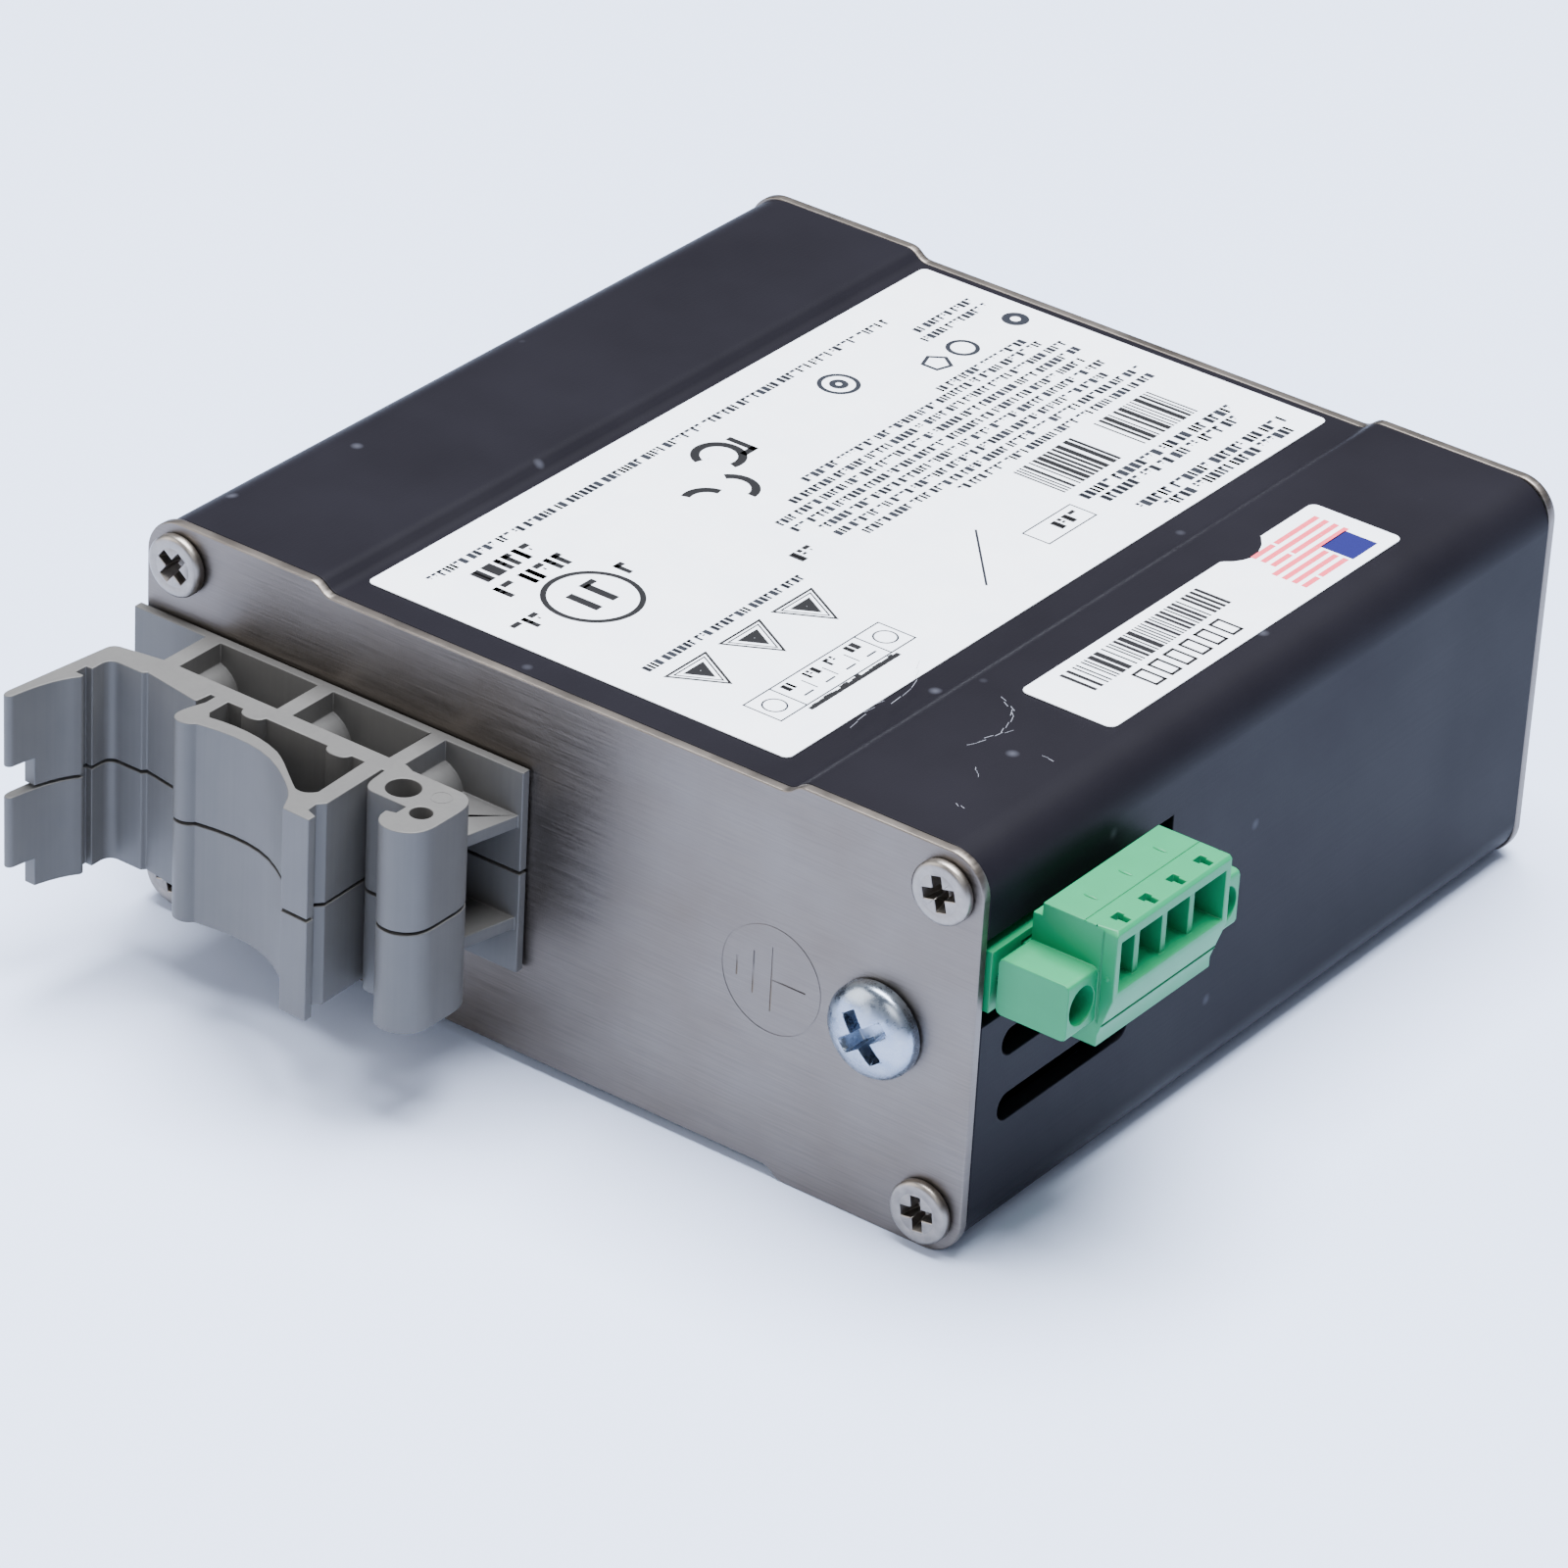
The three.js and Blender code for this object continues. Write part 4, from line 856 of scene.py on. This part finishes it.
# %% [markdown]
# Handling has cut fine bright scratches through the black coat, mostly near the +X corner by the
# rear plate. They are short strokes of a few hundredths of a millimetre, in little runs.

# %% Scratches on the cover
chance = random.Random(3)
cover_top = corners("cover_extrusion")[1].z + 0.004
bm = bmesh.new()
runs = (
    (67.4, 10.5, 8, 1.3, 4), (67.6, 16.0, 4, 1.5, 5), (76.6, 14.6, -28, 0.9, 5), (77.2, 18.0, 20, 1.0, 4),
    (76.2, 21.0, 48, 0.8, 4), (82.0, 6.0, 70, 0.5, 2), (80.0, 11.0, 35, 0.5, 3), (83.0, 17.0, 80, 0.6, 2),
    (30.0, 40.0, 15, 0.4, 1),
)
for x, y, turn, length, pieces in runs:
    for number in range(pieces):
        patch(bm, x, y, x + chance.uniform(0.03, 0.06), y + length, cover_top, turn)
        bearing = math.radians(turn + chance.uniform(-20, 20))
        x -= math.sin(bearing) * length * 1.1
        y += math.cos(bearing) * length * 1.1
        turn += chance.uniform(-14, 14)
finish_print("cover_scratches", bm, bare_scratch)

# %% [markdown]
# The parts that are seen only through openings keep their CAD shape. Each still gets its own
# surface: tinned brass pins, a solder-mask board, a sintered core, taped windings, shrink-sleeved
# capacitors, black epoxy, bare aluminium, clear acrylic and a blue moulded trimmer.

# %% Inner surfaces
bump_mm = 0.01


def two_tone(name, first, second, size_mm, roughness, metallic=0.0, ior=None, stretch=(1, 1, 1)):
    """A surface that wanders between two colours at a real size."""
    made, tree, shader = surface(name, first, roughness, metallic, ior)
    place = add(tree, "ShaderNodeTexCoord").outputs["Object"]
    along = add(tree, "ShaderNodeMapping", {
        "Vector": place, "Scale": [1000 / size_mm * s for s in stretch],
    })
    mottle = add(tree, "ShaderNodeTexNoise", {
        "Vector": along.outputs["Vector"], "Scale": 1.0, "Detail": 3.0,
    })
    mixed = add(tree, "ShaderNodeMix", {
        0: mottle.outputs["Fac"], 6: linear(first), 7: linear(second),
    }, data_type="RGBA")
    tree.links.new(mixed.outputs[2], shader.inputs["Base Color"])
    bump = add(tree, "ShaderNodeBump", {
        "Height": mottle.outputs["Fac"], "Strength": 0.3, "Distance": bump_mm * MM,
    })
    tree.links.new(bump.outputs["Normal"], shader.inputs["Normal"])
    return made


clear_acrylic, tree, shader = surface("clear_acrylic", "e4efe8", 0.12, ior=1.49)
shader.inputs["Transmission Weight"].default_value = 0.85
place = add(tree, "ShaderNodeTexCoord").outputs["Object"]
ripple = add(tree, "ShaderNodeTexNoise", {"Vector": place, "Scale": 900.0})
bump = add(tree, "ShaderNodeBump", {
    "Height": ripple.outputs["Fac"], "Strength": 0.1, "Distance": 0.00002,
})
tree.links.new(bump.outputs["Normal"], shader.inputs["Normal"])
tinned_brass = two_tone("tinned_brass", "cdc9bb", "a9a596", 0.6, 0.32, metallic=1.0)
solder_mask = two_tone("green_solder_mask", "1d5434", "2c6e47", 1.2, 0.34, ior=1.5, stretch=(1, 0.2, 1))
sintered_ferrite = two_tone("sintered_ferrite", "343437", "48484a", 0.4, 0.75, ior=1.6)
winding_tape = two_tone(
    "polyester_winding_tape", "c9a23a", "dab95c", 2.0, 0.4, ior=1.5, stretch=(0.2, 0.2, 1)
)
shrink_sleeve = two_tone("pvc_shrink_sleeve", "1c2029", "303643", 1.5, 0.35, ior=1.5, stretch=(1, 1, 0.2))
black_epoxy = two_tone("moulded_black_epoxy", "1b1b1e", "2b2b2f", 0.3, 0.6, ior=1.55)
mill_aluminium = two_tone(
    "mill_finish_aluminium", "b4b8bd", "cfd2d6", 0.4, 0.38, metallic=1.0, stretch=(0.05, 1, 1)
)
blue_trimmer = two_tone("moulded_blue_trimmer", "2b58a6", "3b6bb8", 0.5, 0.45, ior=1.5)
dressed = {
    tinned_brass: ["trim_pot_screw"]
    + [f"{side}_pin_{i}" for side in ("input", "output") for i in range(1, 5)],
    blue_zinc: ["ground_nut", "flange_screw_rear", "flange_screw_front"]
    + [f"clamp_{kind}_{i}" for kind in ("cage", "screw") for i in range(1, 5)],
    turned_stainless: [f"clip_screw_{i}" for i in range(1, 5)],
    solder_mask: ["circuit_board"],
    sintered_ferrite: ["transformer_core"],
    winding_tape: ["transformer_winding", "filter_choke"],
    shrink_sleeve: [f"bulk_capacitor_{i}" for i in range(1, 4)]
    + [f"output_capacitor_{i}" for i in (1, 2)],
    black_epoxy: ["power_transistor_1", "power_transistor_2"],
    mill_aluminium: ["heat_spreader"],
    clear_acrylic: [f"light_pipe_{i}" for i in range(1, 4)],
    blue_trimmer: ["trim_pot_body"],
}
for made, members in dressed.items():
    for name in members:
        nodes[name].data.materials.clear()
        nodes[name].data.materials.append(made)
bare = [n for n, o in nodes.items() if not o.hide_render and n not in sum(dressed.values(), [])]
print("dressed", sum(len(members) for members in dressed.values()), "left bare", bare)
